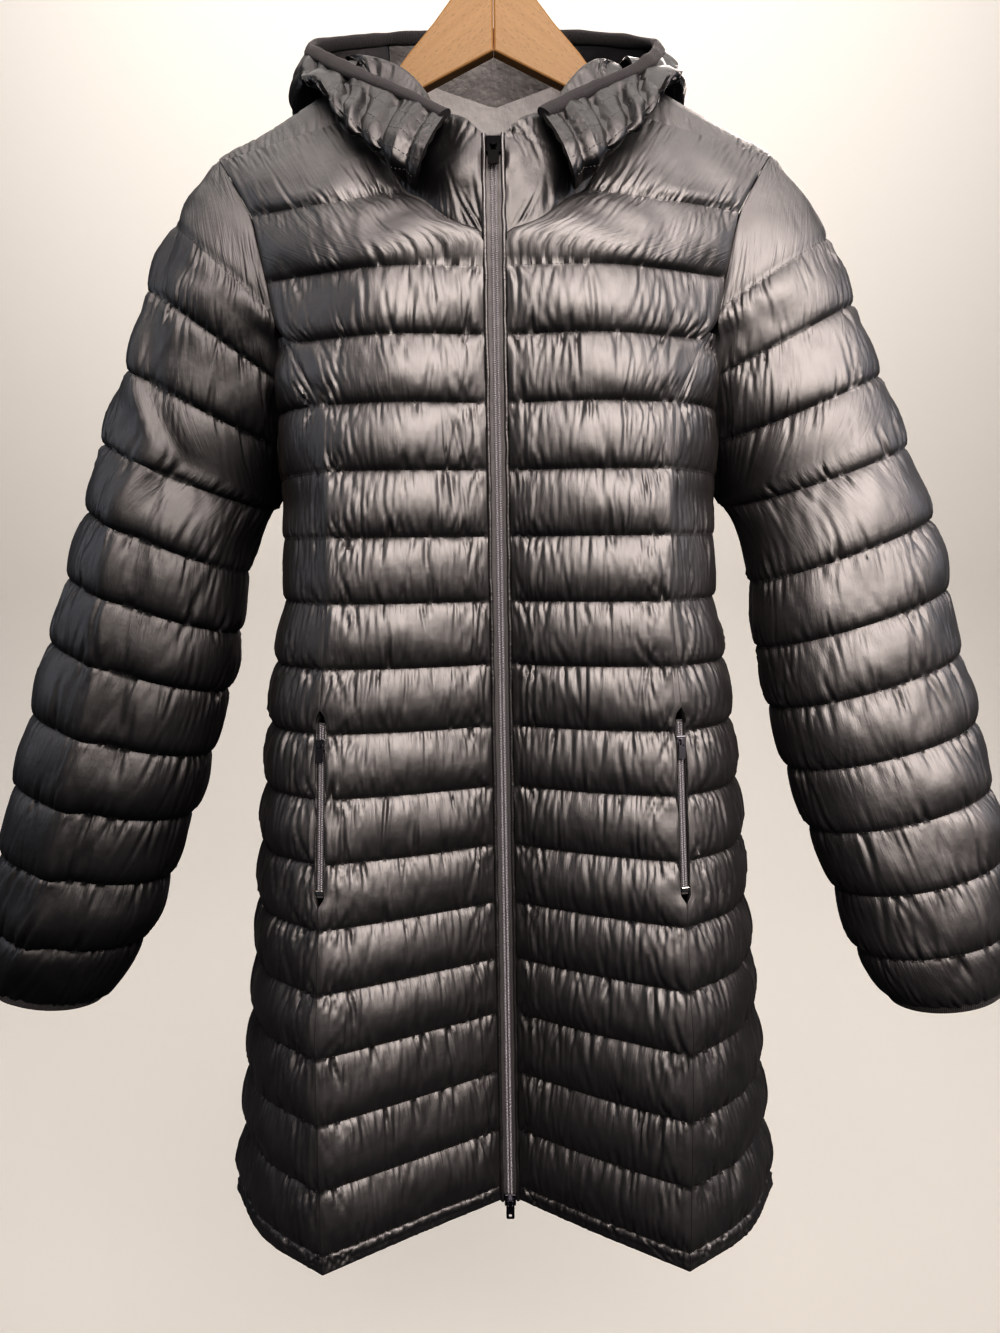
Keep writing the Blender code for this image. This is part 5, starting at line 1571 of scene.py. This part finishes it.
@dataclass(frozen=True)
class Nylon(Finish):
    """Down-proof nylon taffeta, calendered: smooth black cloth with a broad soft sheen."""

    light: str = "#09090a"
    wrinkle: float = 0.0035
    wrinkle_depth: float = 0.0007
    crumple: float = 0.0009
    gloss: float = 0.6
    thread: float = 0.0007

    def surface(self) -> dict[str, object]:
        """Values for the surface shader's sockets, with the nap's faint sheen."""
        sheen = {"Sheen Weight": 0.01, "Sheen Roughness": 0.4, "Sheen Tint": linear("#b9a99a")}
        return super().surface() | sheen | {"Specular IOR Level": self.gloss}

    def pattern(self, tree: bpy.types.NodeTree) -> dict[str, object]:
        """Fine gathers that run off the stitch lines, a faint weave and an uneven sheen.

        The threads are about 0.1 mm apart on the real cloth, and are drawn coarser so that they show.
        """
        laid = add_node(tree, "UVMap", {"uv_map": "cloth"})
        parts = add_node(tree, "SeparateXYZ", links={"Vector": laid})
        mid = add_node(tree, "Math", {"operation": "PINGPONG", 1: 0.5}, {0: parts.outputs["Y"]})
        fading = {"From Min": 0.0, "From Max": 0.5, "To Min": 1.0, "To Max": 0.3}
        near = add_node(tree, "MapRange", fading, {"Value": mid})
        stretched = add_node(tree, "Mapping", {"Scale": (1 / self.wrinkle, 1 / 0.5, 1.0)}, {"Vector": laid})
        uneven = {"Scale": 1.0, "Detail": 3.0, "Roughness": 0.6, "Distortion": 0.4}
        gathers = add_node(tree, "TexNoise", uneven, {"Vector": stretched})
        height = add_node(tree, "Math", {"operation": "MULTIPLY"}, {0: gathers, 1: near})
        first = add_node(tree, "Bump", {"Strength": 1.0, "Distance": self.wrinkle_depth}, {"Height": height})
        place = add_node(tree, "TexCoord").outputs["Object"]
        creased = {"Scale": 55.0, "Detail": 4.0, "Roughness": 0.55}
        crumple = add_node(tree, "TexNoise", creased, {"Vector": place})
        deep = {"Strength": 0.6, "Distance": self.crumple}
        second = add_node(tree, "Bump", deep, {"Height": crumple, "Normal": first})
        threads = {"wave_type": "BANDS", "bands_direction": "DIAGONAL", "Scale": 0.31 / self.thread}
        weave = add_node(tree, "TexWave", threads, {"Vector": place}).outputs["Fac"]
        fine = {"Strength": 0.25, "Distance": 0.00005}
        third = add_node(tree, "Bump", fine, {"Height": weave, "Normal": second})
        broad = add_node(tree, "TexNoise", {"Scale": 9.0, "Detail": 3.0}, {"Vector": place})
        tones = {"data_type": "RGBA", 6: linear(self.colour), 7: linear(self.light)}
        tone = add_node(tree, "Mix", tones, {"Factor": broad})
        spread = {"To Min": self.roughness - 0.06, "To Max": self.roughness + 0.08}
        gloss = add_node(tree, "MapRange", spread, {"Value": crumple})
        return {"Normal": third, "Base Color": tone.outputs[2], "Roughness": gloss}


@dataclass(frozen=True)
class Knit(Finish):
    """Fold-over elastic knitted from covered rubber: matte, with fine cross ribs."""

    rib: float = 0.0014
    depth: float = 0.0004
    light: str = "#19181a"

    def surface(self) -> dict[str, object]:
        """Values for the surface shader's sockets, with the yarn's fuzz."""
        fuzz = {"Specular IOR Level": 0.12, "Sheen Weight": 0.03, "Sheen Roughness": 0.6}
        return super().surface() | fuzz

    def pattern(self, tree: bpy.types.NodeTree) -> dict[str, object]:
        """Ribs across the tape and the fuzz of its yarn."""
        laid = add_node(tree, "UVMap", {"uv_map": "cloth"})
        knitted = {"wave_type": "BANDS", "bands_direction": "X", "Scale": 0.314 / self.rib, "Distortion": 0.6}
        ribs = add_node(tree, "TexWave", knitted, {"Vector": laid}).outputs["Fac"]
        place = add_node(tree, "TexCoord").outputs["Object"]
        fuzz = add_node(tree, "TexNoise", {"Scale": 900.0, "Detail": 2.0}, {"Vector": place})
        first = add_node(tree, "Bump", {"Strength": 0.8, "Distance": self.depth}, {"Height": ribs})
        shallow = {"Strength": 0.5, "Distance": 0.0003}
        second = add_node(tree, "Bump", shallow, {"Height": fuzz, "Normal": first})
        tones = {"data_type": "RGBA", 6: linear(self.colour), 7: linear(self.light)}
        tone = add_node(tree, "Mix", tones, {"Factor": fuzz})
        return {"Normal": second, "Base Color": tone.outputs[2]}


@dataclass(frozen=True)
class Beech(Finish):
    """Steamed beech under clear lacquer: warm tan, straight grain along the arm, short dark flecks."""

    dark: str = "#d09c62"
    fleck: str = "#8a5a34"
    slope: float = -38.7

    def surface(self) -> dict[str, object]:
        """Values for the surface shader's sockets, under a coat of lacquer."""
        return super().surface() | {"Coat Weight": 0.3, "Coat Roughness": 0.25}

    def pattern(self, tree: bpy.types.NodeTree) -> dict[str, object]:
        """Growth rings as long streaks, and rays as flecks a few millimetres long."""
        place = add_node(tree, "TexCoord").outputs["Object"]
        parts = add_node(tree, "SeparateXYZ", links={"Vector": place}).outputs
        outwards = add_node(tree, "Math", {"operation": "ABSOLUTE"}, {0: parts["X"]})
        folded = add_node(tree, "CombineXYZ", links={"X": outwards, "Y": parts["Y"], "Z": parts["Z"]})
        sloped = {"vector_type": "TEXTURE", "Rotation": (0, -math.radians(self.slope), 0)}
        along = add_node(tree, "Mapping", sloped, {"Vector": folded})
        rings = add_node(tree, "Mapping", {"Scale": (9.0, 330.0, 330.0)}, {"Vector": along})
        streaks = {"Scale": 1.0, "Detail": 5.0, "Roughness": 0.6}
        grain = add_node(tree, "TexNoise", streaks, {"Vector": rings})
        ray = add_node(tree, "Mapping", {"Scale": (260.0, 1900.0, 1900.0)}, {"Vector": along})
        flecks = add_node(tree, "TexNoise", {"Scale": 1.0, "Detail": 1.0}, {"Vector": ray})
        few = {"From Min": 0.62, "From Max": 0.72, "To Min": 0.0, "To Max": 0.45}
        spots = add_node(tree, "MapRange", few, {"Value": flecks})
        tones = {"data_type": "RGBA", 6: linear(self.colour), 7: linear(self.dark)}
        tone = add_node(tree, "Mix", tones, {"Factor": grain}).outputs[2]
        darker = {"data_type": "RGBA", 7: linear(self.fleck)}
        spotted = add_node(tree, "Mix", darker, {"Factor": spots, 6: tone})
        bump = add_node(tree, "Bump", {"Strength": 0.4, "Distance": 0.0002}, {"Height": grain})
        return {"Base Color": spotted.outputs[2], "Normal": bump}


@dataclass(frozen=True)
class Grained(Finish):
    """A surface that is even but for a fine grain."""

    grain: float = 40.0
    detail: float = 4.0
    strength: float = 0.1
    depth: float = 0.0005

    def pattern(self, tree: bpy.types.NodeTree) -> dict[str, object]:
        """The grain: a roller's texture on paint, or the slight orange peel of enamel."""
        place = add_node(tree, "TexCoord").outputs["Object"]
        noise = add_node(tree, "TexNoise", {"Scale": self.grain, "Detail": self.detail}, {"Vector": place})
        raised = {"Strength": self.strength, "Distance": self.depth}
        return {"Normal": add_node(tree, "Bump", raised, {"Height": noise})}


@dataclass(frozen=True)
class Lacquer(Grained):
    """Black enamel baked on cast zinc: deep, wet-looking gloss."""

    grain: float = 700.0
    detail: float = 2.0
    strength: float = 0.3
    depth: float = 0.0001

    def surface(self) -> dict[str, object]:
        """Values for the surface shader's sockets, under a clear coat."""
        clear = {"Specular IOR Level": 0.01, "Coat Weight": 0.004, "Coat Roughness": 0.08}
        return super().surface() | clear


@dataclass(frozen=True)
class Paint(Grained):
    """Matt emulsion on the studio's floor and wall: pale and even."""


class Finishes(Enum):
    """The finishes of the coat, its fastenings and its hanger."""

    # Calendered outside: a broad soft sheen that turns grey on each channel's crown
    SHELL = Nylon("black_nylon_taffeta", "#050506", 0.50)
    # The same cloth with less gloss and shallower gathers: painted shade that keeps the hood and collar
    # darker; smoother, with sharper and fewer glints
    SHADED_SHELL = Nylon(
        "black_nylon_taffeta_painted_shade", "#050506", 0.38, wrinkle_depth=0.0002, gloss=0.32, crumple=0.0016
    )
    # Covered rubber and dull yarn: the darkest and most even edge of the coat
    KNIT = Knit("black_knitted_elastic", "#0b0b0c", 0.85)
    # Twisted filament: small dull beads in the stitch lines
    THREAD = Finish("black_polyester_thread", "#151517", 0.5)
    # Drawn black monofilament, coloured grey: painted glints that run down the chain
    COIL = Finish("black_nylon_coil_painted_grey_glints", "#4c4c50", 0.34)
    # Close plain weave: a flat black strip beside the coils
    TAPE = Finish("black_woven_zip_tape", "#171718", 0.7)
    # Baked enamel: black with small hard highlights
    LACQUER = Lacquer("black_enamelled_zinc", "#020203", 0.12)
    # Cast and plated: a dark metal that mirrors the lamps softly
    GUNMETAL = Finish("gunmetal_plated_zinc", "#55555a", 0.28, 1.0)
    # Stamped and plated: a bright warm fleck at the zip's end
    NICKEL = Finish("nickel_plated_brass", "#cfcdc8", 0.2, 1.0)
    # Turned, sanded and lacquered: warm tan wood with a satin gleam
    BEECH = Beech("lacquered_beech", "#f2c48c", 0.45)
    # Drawn wire, plated: a bright line along the hook
    STEEL = Finish("bright_plated_steel", "#c6c6c9", 0.22, 1.0)
    # Rolled emulsion: a pale ground with no shine
    STUDIO = Paint("pale_studio_paint", "#ebe8e4", 0.85)


class Wardrobe:
    """Hands out one material for each finish, and puts pieces on the coat."""

    def __init__(self) -> None:
        """Makes every material once."""
        self.made = {finish: finish.value.material() for finish in Finishes}

    def dress(
        self,
        piece: bpy.types.Object,
        finish: Finishes,
        slot: str,
        nodes: Sequence[str] = (),
        body: str = ROOT,
    ) -> bpy.types.Object:
        """Gives a piece its finish, its body and the CAD nodes that it stands for.

        Args:
            piece: the new piece.
            finish: what it is made of.
            slot: not used.
            nodes: CAD nodes that it replaces.
            body: the CAD body that it moves with.

        Returns:
            The piece.
        """
        piece.data.materials.clear()
        piece.data.materials.append(self.made[finish])
        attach(piece, body)
        if nodes:
            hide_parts(*nodes)
        log.info("%s: %d faces", piece.name, len(piece.data.polygons))
        return piece

    def carry_over(self, node: str, finish: Finishes) -> None:
        """Gives a CAD node that stays a better material."""
        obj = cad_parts[node]
        for slot in obj.material_slots:
            slot.material = self.made[finish]
        log.info("%s: kept, %s", node, finish.value.name)


# ---------------------------------------------------------------- thread, bindings and zips


@dataclass
class Stitching:
    """Lockstitch along every stitch line of a quilt: small rounded stitches, half sunk in the cloth."""

    pitch: float = 0.0031
    length: float = 0.0024
    width: float = 0.0007
    height: float = 0.0006
    proud: float = 0.1
    from_edge: float = 0.004

    def sew(self, cloth: FineCloth) -> bpy.types.Object | None:
        """The thread of one panel, or None if no stitch line crosses it."""
        whole = np.abs(cloth.lines - np.round(cloth.lines)) < ON_LINE
        rows = [k for k in np.flatnonzero(whole[:-1]) if k and cloth.quilt.blown]
        places = []
        for row in rows:
            for low, high in strips(cloth.points.shape[1], cloth.slit):
                path, out = cloth.points[row, low:high], cloth.outward[row, low:high]
                length = run_length(path)
                at = np.arange(self.from_edge, length[-1] - self.from_edge, self.pitch)
                if not len(at):
                    continue
                point, normal = sampled(at, length, path), sampled(at, length, out)
                along = sampled(at, length, np.gradient(path, length, axis=0))
                places.append(turned(along, normal, point + normal * self.height * self.proud))
        if not places:
            return None
        size = (self.length, self.width, self.height)
        return repeated(f"stitches_{cloth.quilt.node}", size, np.concatenate(places))


def oval(half_height: float, half_thick: float, corners: int = 12) -> np.ndarray:
    """The outline of a flattened tape folded over an edge."""
    angle = np.linspace(0, 2 * math.pi, corners, endpoint=False)
    squared = np.stack([np.cos(angle), np.sin(angle)], -1)
    squared = np.sign(squared) * np.abs(squared) ** 0.75
    return squared * [half_height, half_thick]


@dataclass
class Bindings:
    """Knitted elastic folded over the hood's rim and the cuffs."""

    half_height: float = 0.0056
    half_thick: float = 0.0034
    rise: float = 0.0010
    cuff_half_height: float = 0.0044

    def hood(self, rim: tuple[np.ndarray, np.ndarray, np.ndarray]) -> bpy.types.Object:
        """The binding along the hood's rim, a little uneven where the cloth pulls at it."""
        path, out, up = rim
        waves = 1 + 0.10 * lumps(path, 151, 0.03)[:, None, None]
        profile = oval(self.half_height, self.half_thick) * waves
        path = path + up * self.rise
        return swept("hood_rim_binding", path, up, out, profile)

    def cuff(self, cloth: FineCloth, word: str) -> bpy.types.Object:
        """The binding round one cuff."""
        edge = ((cloth.points[-1] + cloth.inner[-1]) / 2)[:-1]
        length = run_length(np.vstack([edge, edge[:1]]))
        at = np.linspace(0, length[-1], 90, endpoint=False)
        open_grids = edge, cloth.outward[-1][:-1], (cloth.points[-1] - cloth.points[-8])[:-1]
        path, out, down = (sampled(at, length, np.vstack([v, v[:1]])) for v in open_grids)
        for _ in range(3):
            for v in (path, out, down):
                v[:] = (np.roll(v, 1, 0) + 2 * v + np.roll(v, -1, 0)) / 4
        along = unit(np.roll(path, -1, 0) - np.roll(path, 1, 0))
        out = squared(out, along)
        down = squared(down, along, out)
        profile = oval(self.cuff_half_height, self.half_thick)
        return swept(f"cuff_{word}_binding", path + down * self.rise, down, out, profile, ring=True)


@dataclass
class MainZip:
    """The two-way coil zip down the front, between its raised piped edges."""

    pitch: float = 0.00125
    slant: float = 0.22
    turn_width: float = 0.82
    steps: int = 260
    piping: tuple[tuple[float, float], ...] = (
        (8.8, -2.6), (8.6, 0.0), (7.8, 1.4), (7.1, 2.2), (6.3, 2.4), (5.6, 1.9), (5.1, 0.9), (5.0, -0.4),
        (5.2, -2.0),
    )
    tape: tuple[tuple[float, float], ...] = ((5.9, 0.5), (4.2, 0.7), (3.1, 0.4), (3.1, -1.4), (5.9, -1.4))
    base: tuple[tuple[float, float], ...] = ((3.5, 0.2), (-3.5, 0.2), (-3.5, -1.2), (3.5, -1.2))

    def path(self) -> np.ndarray:
        """The zip's middle, from the collar's top to the hem, on the panels' outer face."""
        neck_line, hem_line = 1.85, 17.97
        lines = np.linspace(neck_line, hem_line, self.steps)
        points = column(NECK_AND_ZIP_EDGE)(np.maximum(lines, 2.0))
        points[:, 0] = zip_centre(lines)
        points[:, 2] = line_height(lines)
        points[0] = (zip_centre(np.array(neck_line)), -0.100, -0.295)
        top = np.array([zip_centre(np.array(1.0)), -0.088, -0.2245])
        collar = top + (points[0] - top) * np.linspace(0, 1, 24)[:-1, None]
        return np.vstack([collar, points])

    def make(self, wardrobe: Wardrobe) -> None:
        """The piping, tapes and coils."""
        path = self.path()
        along = unit(np.gradient(path, axis=0))
        across = np.broadcast_to([1.0, 0.0, 0.0], path.shape)
        out = unit(np.cross(along, across))
        out *= np.sign(-out[:, 1:2])
        for side, word in ((-1, "left"), (1, "right")):
            wobble = lumps(path, 163 + side, 0.02)[:, None, None] * [0.00025, 0.00030]
            piping = np.array(self.piping) * [side, 1] * MM + wobble
            piece = swept(f"zip_piping_{word}", path, across, out, piping, sharp=70)
            wardrobe.dress(piece, Finishes.SHELL, "shell")
            tape = np.array(self.tape) * [side, 1] * MM
            piece = swept(f"zip_tape_{word}_woven", path, across, out, tape)
            wardrobe.dress(piece, Finishes.TAPE, "zip", [f"zip_tape_{word}"])
        piece = swept("zip_chain_base", path, across, out, np.array(self.base) * MM)
        wardrobe.dress(piece, Finishes.TAPE, "zip", ["zip_chain"])
        coils = self.coils("zip_coils", path, across, out, 0.00135, 0.0026)
        wardrobe.dress(coils, Finishes.COIL, "zip")

    def coils(
        self,
        name: str,
        path: np.ndarray,
        across: np.ndarray,
        out: np.ndarray,
        aside: float,
        width: float,
        height: float = 0.0011,
        proud: float = 0.0003,
    ) -> bpy.types.Object:
        """Two rows of coil turns that lock along a path.

        Args:
            name: of the piece.
            path: the chain's middle.
            across: unit way across at each point.
            out: unit way out of the cloth.
            aside: middle of each row from the chain's middle.
            width: length of a turn across the chain.
            height: thickness of a turn.
            proud: height of the turns' middle over the path.

        Returns:
            The coils as one piece.
        """
        length = run_length(path)
        places = []
        for turn, row in ((0.0, -1), (0.5, 1)):
            at = np.arange(0.002 + turn * self.pitch, length[-1] - 0.002, self.pitch)
            point, way, rise = (sampled(at, length, v) for v in (path, across, out))
            down = unit(sampled(at, length, np.gradient(path, length, axis=0)))
            slanted = way + down * self.slant * row
            places.append(turned(slanted, rise, point + way * aside * row + rise * proud))
        return repeated(name, (width, self.pitch * self.turn_width, height), np.concatenate(places))


@dataclass
class PocketZip:
    """A coil zip set in the princess seam between two narrow lips."""

    side: int
    halves: dict[str, Patch]
    lip: tuple[tuple[float, float], ...] = (
        (4.4, -2.4), (4.5, 0.0), (4.1, 1.0), (3.4, 1.5), (2.8, 1.0), (2.5, 0.0), (2.6, -1.6),
    )
    base: tuple[tuple[float, float], ...] = ((2.4, 0.0), (-2.4, 0.0), (-2.4, -1.4), (2.4, -1.4))
    # How far the lips run on past the slit and how far in from its ends they close, in stitch lines
    run_on: float = 0.06
    closing: float = 0.1
    sunk: float = 0.0012

    def make(self, wardrobe: Wardrobe, zips: MainZip) -> None:
        """The lips, the chain and its coils."""
        word = "left" if self.side < 0 else "right"
        top, end = POCKET_TOP - self.run_on, POCKET_END + self.run_on
        lines = np.linspace(top, end, 70)
        out = shared(self.halves["front"], 1, self.halves["side_front"], 0)(lines)
        out[:, 2] = 0.0
        out = unit(out)
        across = np.stack([-out[:, 1], out[:, 0], np.zeros(len(lines))], -1)
        path = column(FRONT_SEAM, self.side)(lines) - out * self.sunk
        full = POCKET_TOP + self.closing, POCKET_END - self.closing
        closing = np.interp(lines, (top, *full, end), (0.3, 1, 1, 0.3))
        narrowed = np.stack([closing, np.ones(len(lines))], -1)[:, None]
        for edge, label in ((-1, "inner"), (1, "outer")):
            wobble = lumps(path, 173 + edge, 0.015)[:, None, None] * [0.0003, 0.0004]
            profile = (np.array(self.lip) * [edge, 1] * MM) * narrowed + wobble
            piece = swept(f"pocket_lip_{word}_{label}", path, across, out, profile, sharp=70)
            wardrobe.dress(piece, Finishes.SHELL, "shell")
        inside = (lines > full[0]) & (lines < full[1])
        ways = path[inside], across[inside], out[inside]
        piece = swept(f"pocket_chain_{word}", *ways, np.array(self.base) * MM)
        wardrobe.dress(piece, Finishes.TAPE, "zip", [f"pocket_zip_{word}"])
        coils = zips.coils(f"pocket_coils_{word}", *ways, 0.0010, 0.0020, proud=0.0002)
        wardrobe.dress(coils, Finishes.COIL, "zip")


# ---------------------------------------------------------------- studio


@dataclass
class Lamp:
    """A soft rectangular lamp."""

    name: str
    place: tuple[float, float, float]
    aim: tuple[float, float, float]
    size: tuple[float, float]
    power: float
    colour: str
    spares: str = ""

    def hang(self, spared: dict[str, bpy.types.Collection]) -> None:
        """Adds the lamp to the scene.

        Args:
            spared: by its name, each group of things that some lamps don't light.
        """
        light = bpy.data.lights.new(self.name, "AREA")
        light.shape = "RECTANGLE"
        light.size, light.size_y = self.size
        light.energy = self.power
        light.color = linear(self.colour)[:3]
        obj = linked(bpy.data.objects.new(self.name, light))
        way = Vector(self.aim) - Vector(self.place)
        obj.matrix_world = Matrix.Translation(self.place) @ way.to_track_quat("-Z", "Y").to_matrix().to_4x4()
        if self.spares:
            obj.light_linking.receiver_collection = spared[self.spares]
            obj.light_linking.blocker_collection = spared["pale"]
            for group in spared.values():
                for member in group.collection_objects:
                    member.light_linking.link_state = "EXCLUDE"


@dataclass
class Studio:
    """A plain pale floor that curves up into a wall, lamps, and the camera."""

    floor: float = -1.45
    wall: float = 2.3
    bend: float = 0.8
    half_width: float = 4.5
    # Film height and focal length in millimetres, the camera's place, and the way that is down in its view
    film_height: float = 36.0
    focal_length: float = 963.0 / 1333.0 * 36.0
    camera_place: tuple[float, float, float] = (0.0, -0.80, -0.500)
    camera_down: tuple[float, float, float] = (0.0758, -7.304, -1.0)
    lamps: tuple[Lamp, ...] = (
        Lamp("ceiling_lamp", (0.9, -1.6, 1.5), (0.9, -1.6, 0.0), (3.8, 2.4), 270, "#fff1ec", "pale"),
        Lamp("key_lamp", (0.65, -1.9, 0.5), (0.3, 0.0, -0.6), (3.1, 1.4), 185, "#fff1ea", "pale_and_shaded"),
        Lamp("fill_lamp", (0.4, -1.9, 0.7), (0.0, 0.0, -0.5), (1.6, 1.0), 24, "#fff4ea"),
        Lamp("left_lamp", (-2.2, -0.3, 0.4), (0.0, 0.0, -0.6), (0.8, 1.6), 14, "#e4e8f2", "pale"),
        Lamp("right_lamp", (2.2, -0.1, 0.4), (0.0, 0.0, -0.6), (0.6, 1.4), 12, "#e2e6f4", "pale"),
        Lamp("back_lamp", (0.4, 2.0, 0.9), (0.0, 0.1, -0.5), (1.8, 1.2), 110, "#fff0e8", "pale"),
        Lamp("wall_lamp", (0.0, 0.3, 1.4), (0.0, 2.3, -0.5), (3.6, 0.6), 40, "#fff9f3"),
        Lamp("floor_lamp", (0.0, 1.6, 1.9), (0.0, 0.9, -1.4), (3.6, 0.8), 19, "#fff9f3"),
    )

    def build(self, wardrobe: Wardrobe) -> None:
        """Floor, wall, lamps and world."""
        turn = np.linspace(0, math.pi / 2, 17)
        curve = [(-3.0, self.floor), (self.wall - self.bend, self.floor)]
        curve += [
            (self.wall - self.bend + self.bend * math.sin(a), self.floor + self.bend * (1 - math.cos(a)))
            for a in turn[1:]
        ]
        curve.append((self.wall, 3.2))
        bm = bmesh.new()
        verts = bmesh.ops.create_grid(bm, x_segments=1, y_segments=len(curve) - 1, size=0.5)["verts"]
        for k, vert in enumerate(verts):
            y, z = curve[k // 2]
            vert.co = (self.half_width * (1 if k % 2 else -1), y, z)
        backdrop = piece_from("studio_backdrop", bm, sharp=80)
        backdrop.data.materials.append(wardrobe.made[Finishes.STUDIO])
        backdrop.visible_glossy = False
        pale = [backdrop]
        pale += [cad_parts[node] for node in Coat.KEPT[Finishes.BEECH] + Coat.KEPT[Finishes.STEEL]]
        # The sleeve that hangs in the key lamp's shade, so that its front stays as dark as its folds
        shaded = [bpy.data.objects["sleeve_left_quilt"], bpy.data.objects["stitches_sleeve_left"]]
        spared = {}
        for name, members in (("pale", pale), ("pale_and_shaded", pale + shaded)):
            spared[name] = bpy.data.collections.new(name)
            for member in members:
                spared[name].objects.link(member)
        for lamp in self.lamps:
            lamp.hang(spared)
        world = bpy.data.worlds.new("studio")
        bpy.context.scene.world = world
        world.use_nodes = True
        sky = world.node_tree.nodes["Background"]
        sky.inputs["Color"].default_value = linear("#d4ddf2")
        sky.inputs["Strength"].default_value = 0.05
        bpy.context.scene.view_settings.view_transform = "Standard"
        bpy.context.scene.view_settings.look = "High Contrast"

    def camera(self) -> None:
        """The camera: eye level with the waist, looking a little down at the coat."""
        lens = bpy.data.cameras.new("camera")
        lens.sensor_fit = "VERTICAL"
        lens.sensor_height = self.film_height
        lens.lens = self.focal_length
        camera = linked(bpy.data.objects.new("camera", lens))
        down = Vector(self.camera_down).normalized()
        up = -down
        ahead = Vector((0, 0, -1))
        north = (ahead - up * ahead.dot(up)).normalized()
        east = north.cross(up)
        turn = Matrix((east, north, up)).to_4x4()
        camera.matrix_world = Matrix.Translation(self.camera_place) @ turn
        bpy.context.scene.camera = camera


# ---------------------------------------------------------------- the whole coat


class Coat:
    """Builds the coat on its hanger, part by part."""

    FILL = {"front": 0.5, "side": 0.5, "back": 0.5, "sleeve": 0.5, "hood": 0.35, "collar": 0.1}
    KEPT = {
        Finishes.BEECH: ("hanger_arm_left", "hanger_arm_right"),
        Finishes.STEEL: ("hanger_hook", "hanger_ferrule"),
        Finishes.LACQUER: ("zip_top_slider", "zip_top_pull"),
        Finishes.GUNMETAL: tuple(
            f"{at}_{part}"
            for at in ("zip_bottom", "pocket_left", "pocket_right")
            for part in ("slider", "pull")
        ),
        Finishes.NICKEL: ("pocket_stop_left", "pocket_stop_right"),
    }

    def __init__(self) -> None:
        """Lays out the parts."""
        self.wardrobe = Wardrobe()
        self.body = Body()
        self.sleeves = [Sleeve(side, self.body.halves[side]) for side in (-1, 1)]
        self.hood = Hood()
        self.collar = Collar()

    def make_padding(self) -> dict[str, FineCloth]:
        """Swells, puckers and sews every panel.

        Returns:
            The finished cloths by the CAD node that each stands for.
        """
        sleeves = [sleeve.quilt() for sleeve in self.sleeves]
        quilts = [*self.body.quilts(), *sleeves, *self.hood.quilts(), *self.collar.quilts()]
        DownFilling().fill(quilts)
        stitching = Stitching()
        cloths = {}
        for quilt in quilts:
            cloth = FineCloth(quilt)
            finish = quilt.finish or Finishes.SHELL
            piece = self.wardrobe.dress(cloth.solid(), finish, "shell", [quilt.node])
            self.FILL[quilt.node.split("_")[0]]
            thread = stitching.sew(cloth)
            if thread:
                self.wardrobe.dress(thread, Finishes.THREAD, "shell")
            cloths[quilt.node] = cloth
        return cloths

    def make_bindings(self, cloths: dict[str, FineCloth]) -> None:
        """Binds the hood's rim and the cuffs."""
        bindings = Bindings()
        rim = self.hood.rim([cloths[n] for n in ("hood_side_left", "hood_centre", "hood_side_right")])
        piece = bindings.hood(rim)
        self.wardrobe.dress(piece, Finishes.KNIT, "knit", ["hood_binding"])
        length = float(run_length(rim[0])[-1])
        for sleeve in self.sleeves:
            cloth = cloths[f"sleeve_{sleeve.word}"]
            piece = bindings.cuff(cloth, sleeve.word)
            self.wardrobe.dress(piece, Finishes.KNIT, "knit", [f"cuff_binding_{sleeve.word}"])
            length = float(run_length(cloth.points[-1])[-1])

    def make_zips(self) -> None:
        """The main zip and the two pocket zips."""
        zips = MainZip()
        zips.make(self.wardrobe)
        for side in (-1, 1):
            PocketZip(side, self.body.halves[side]).make(self.wardrobe, zips)

    def dress_kept(self) -> None:
        """Gives the hard pieces that stay their finishes."""
        for finish, nodes in self.KEPT.items():
            for node in nodes:
                self.wardrobe.carry_over(node, finish)


def main() -> None:
    """Builds everything."""
    logging.basicConfig(level=logging.INFO, format="%(name)s: %(message)s")
    coat = Coat()
    cloths = coat.make_padding()
    coat.make_bindings(cloths)
    coat.make_zips()
    coat.dress_kept()
    studio = Studio()
    studio.build(coat.wardrobe)
    studio.camera()


if __name__ == "__main__":
    main()
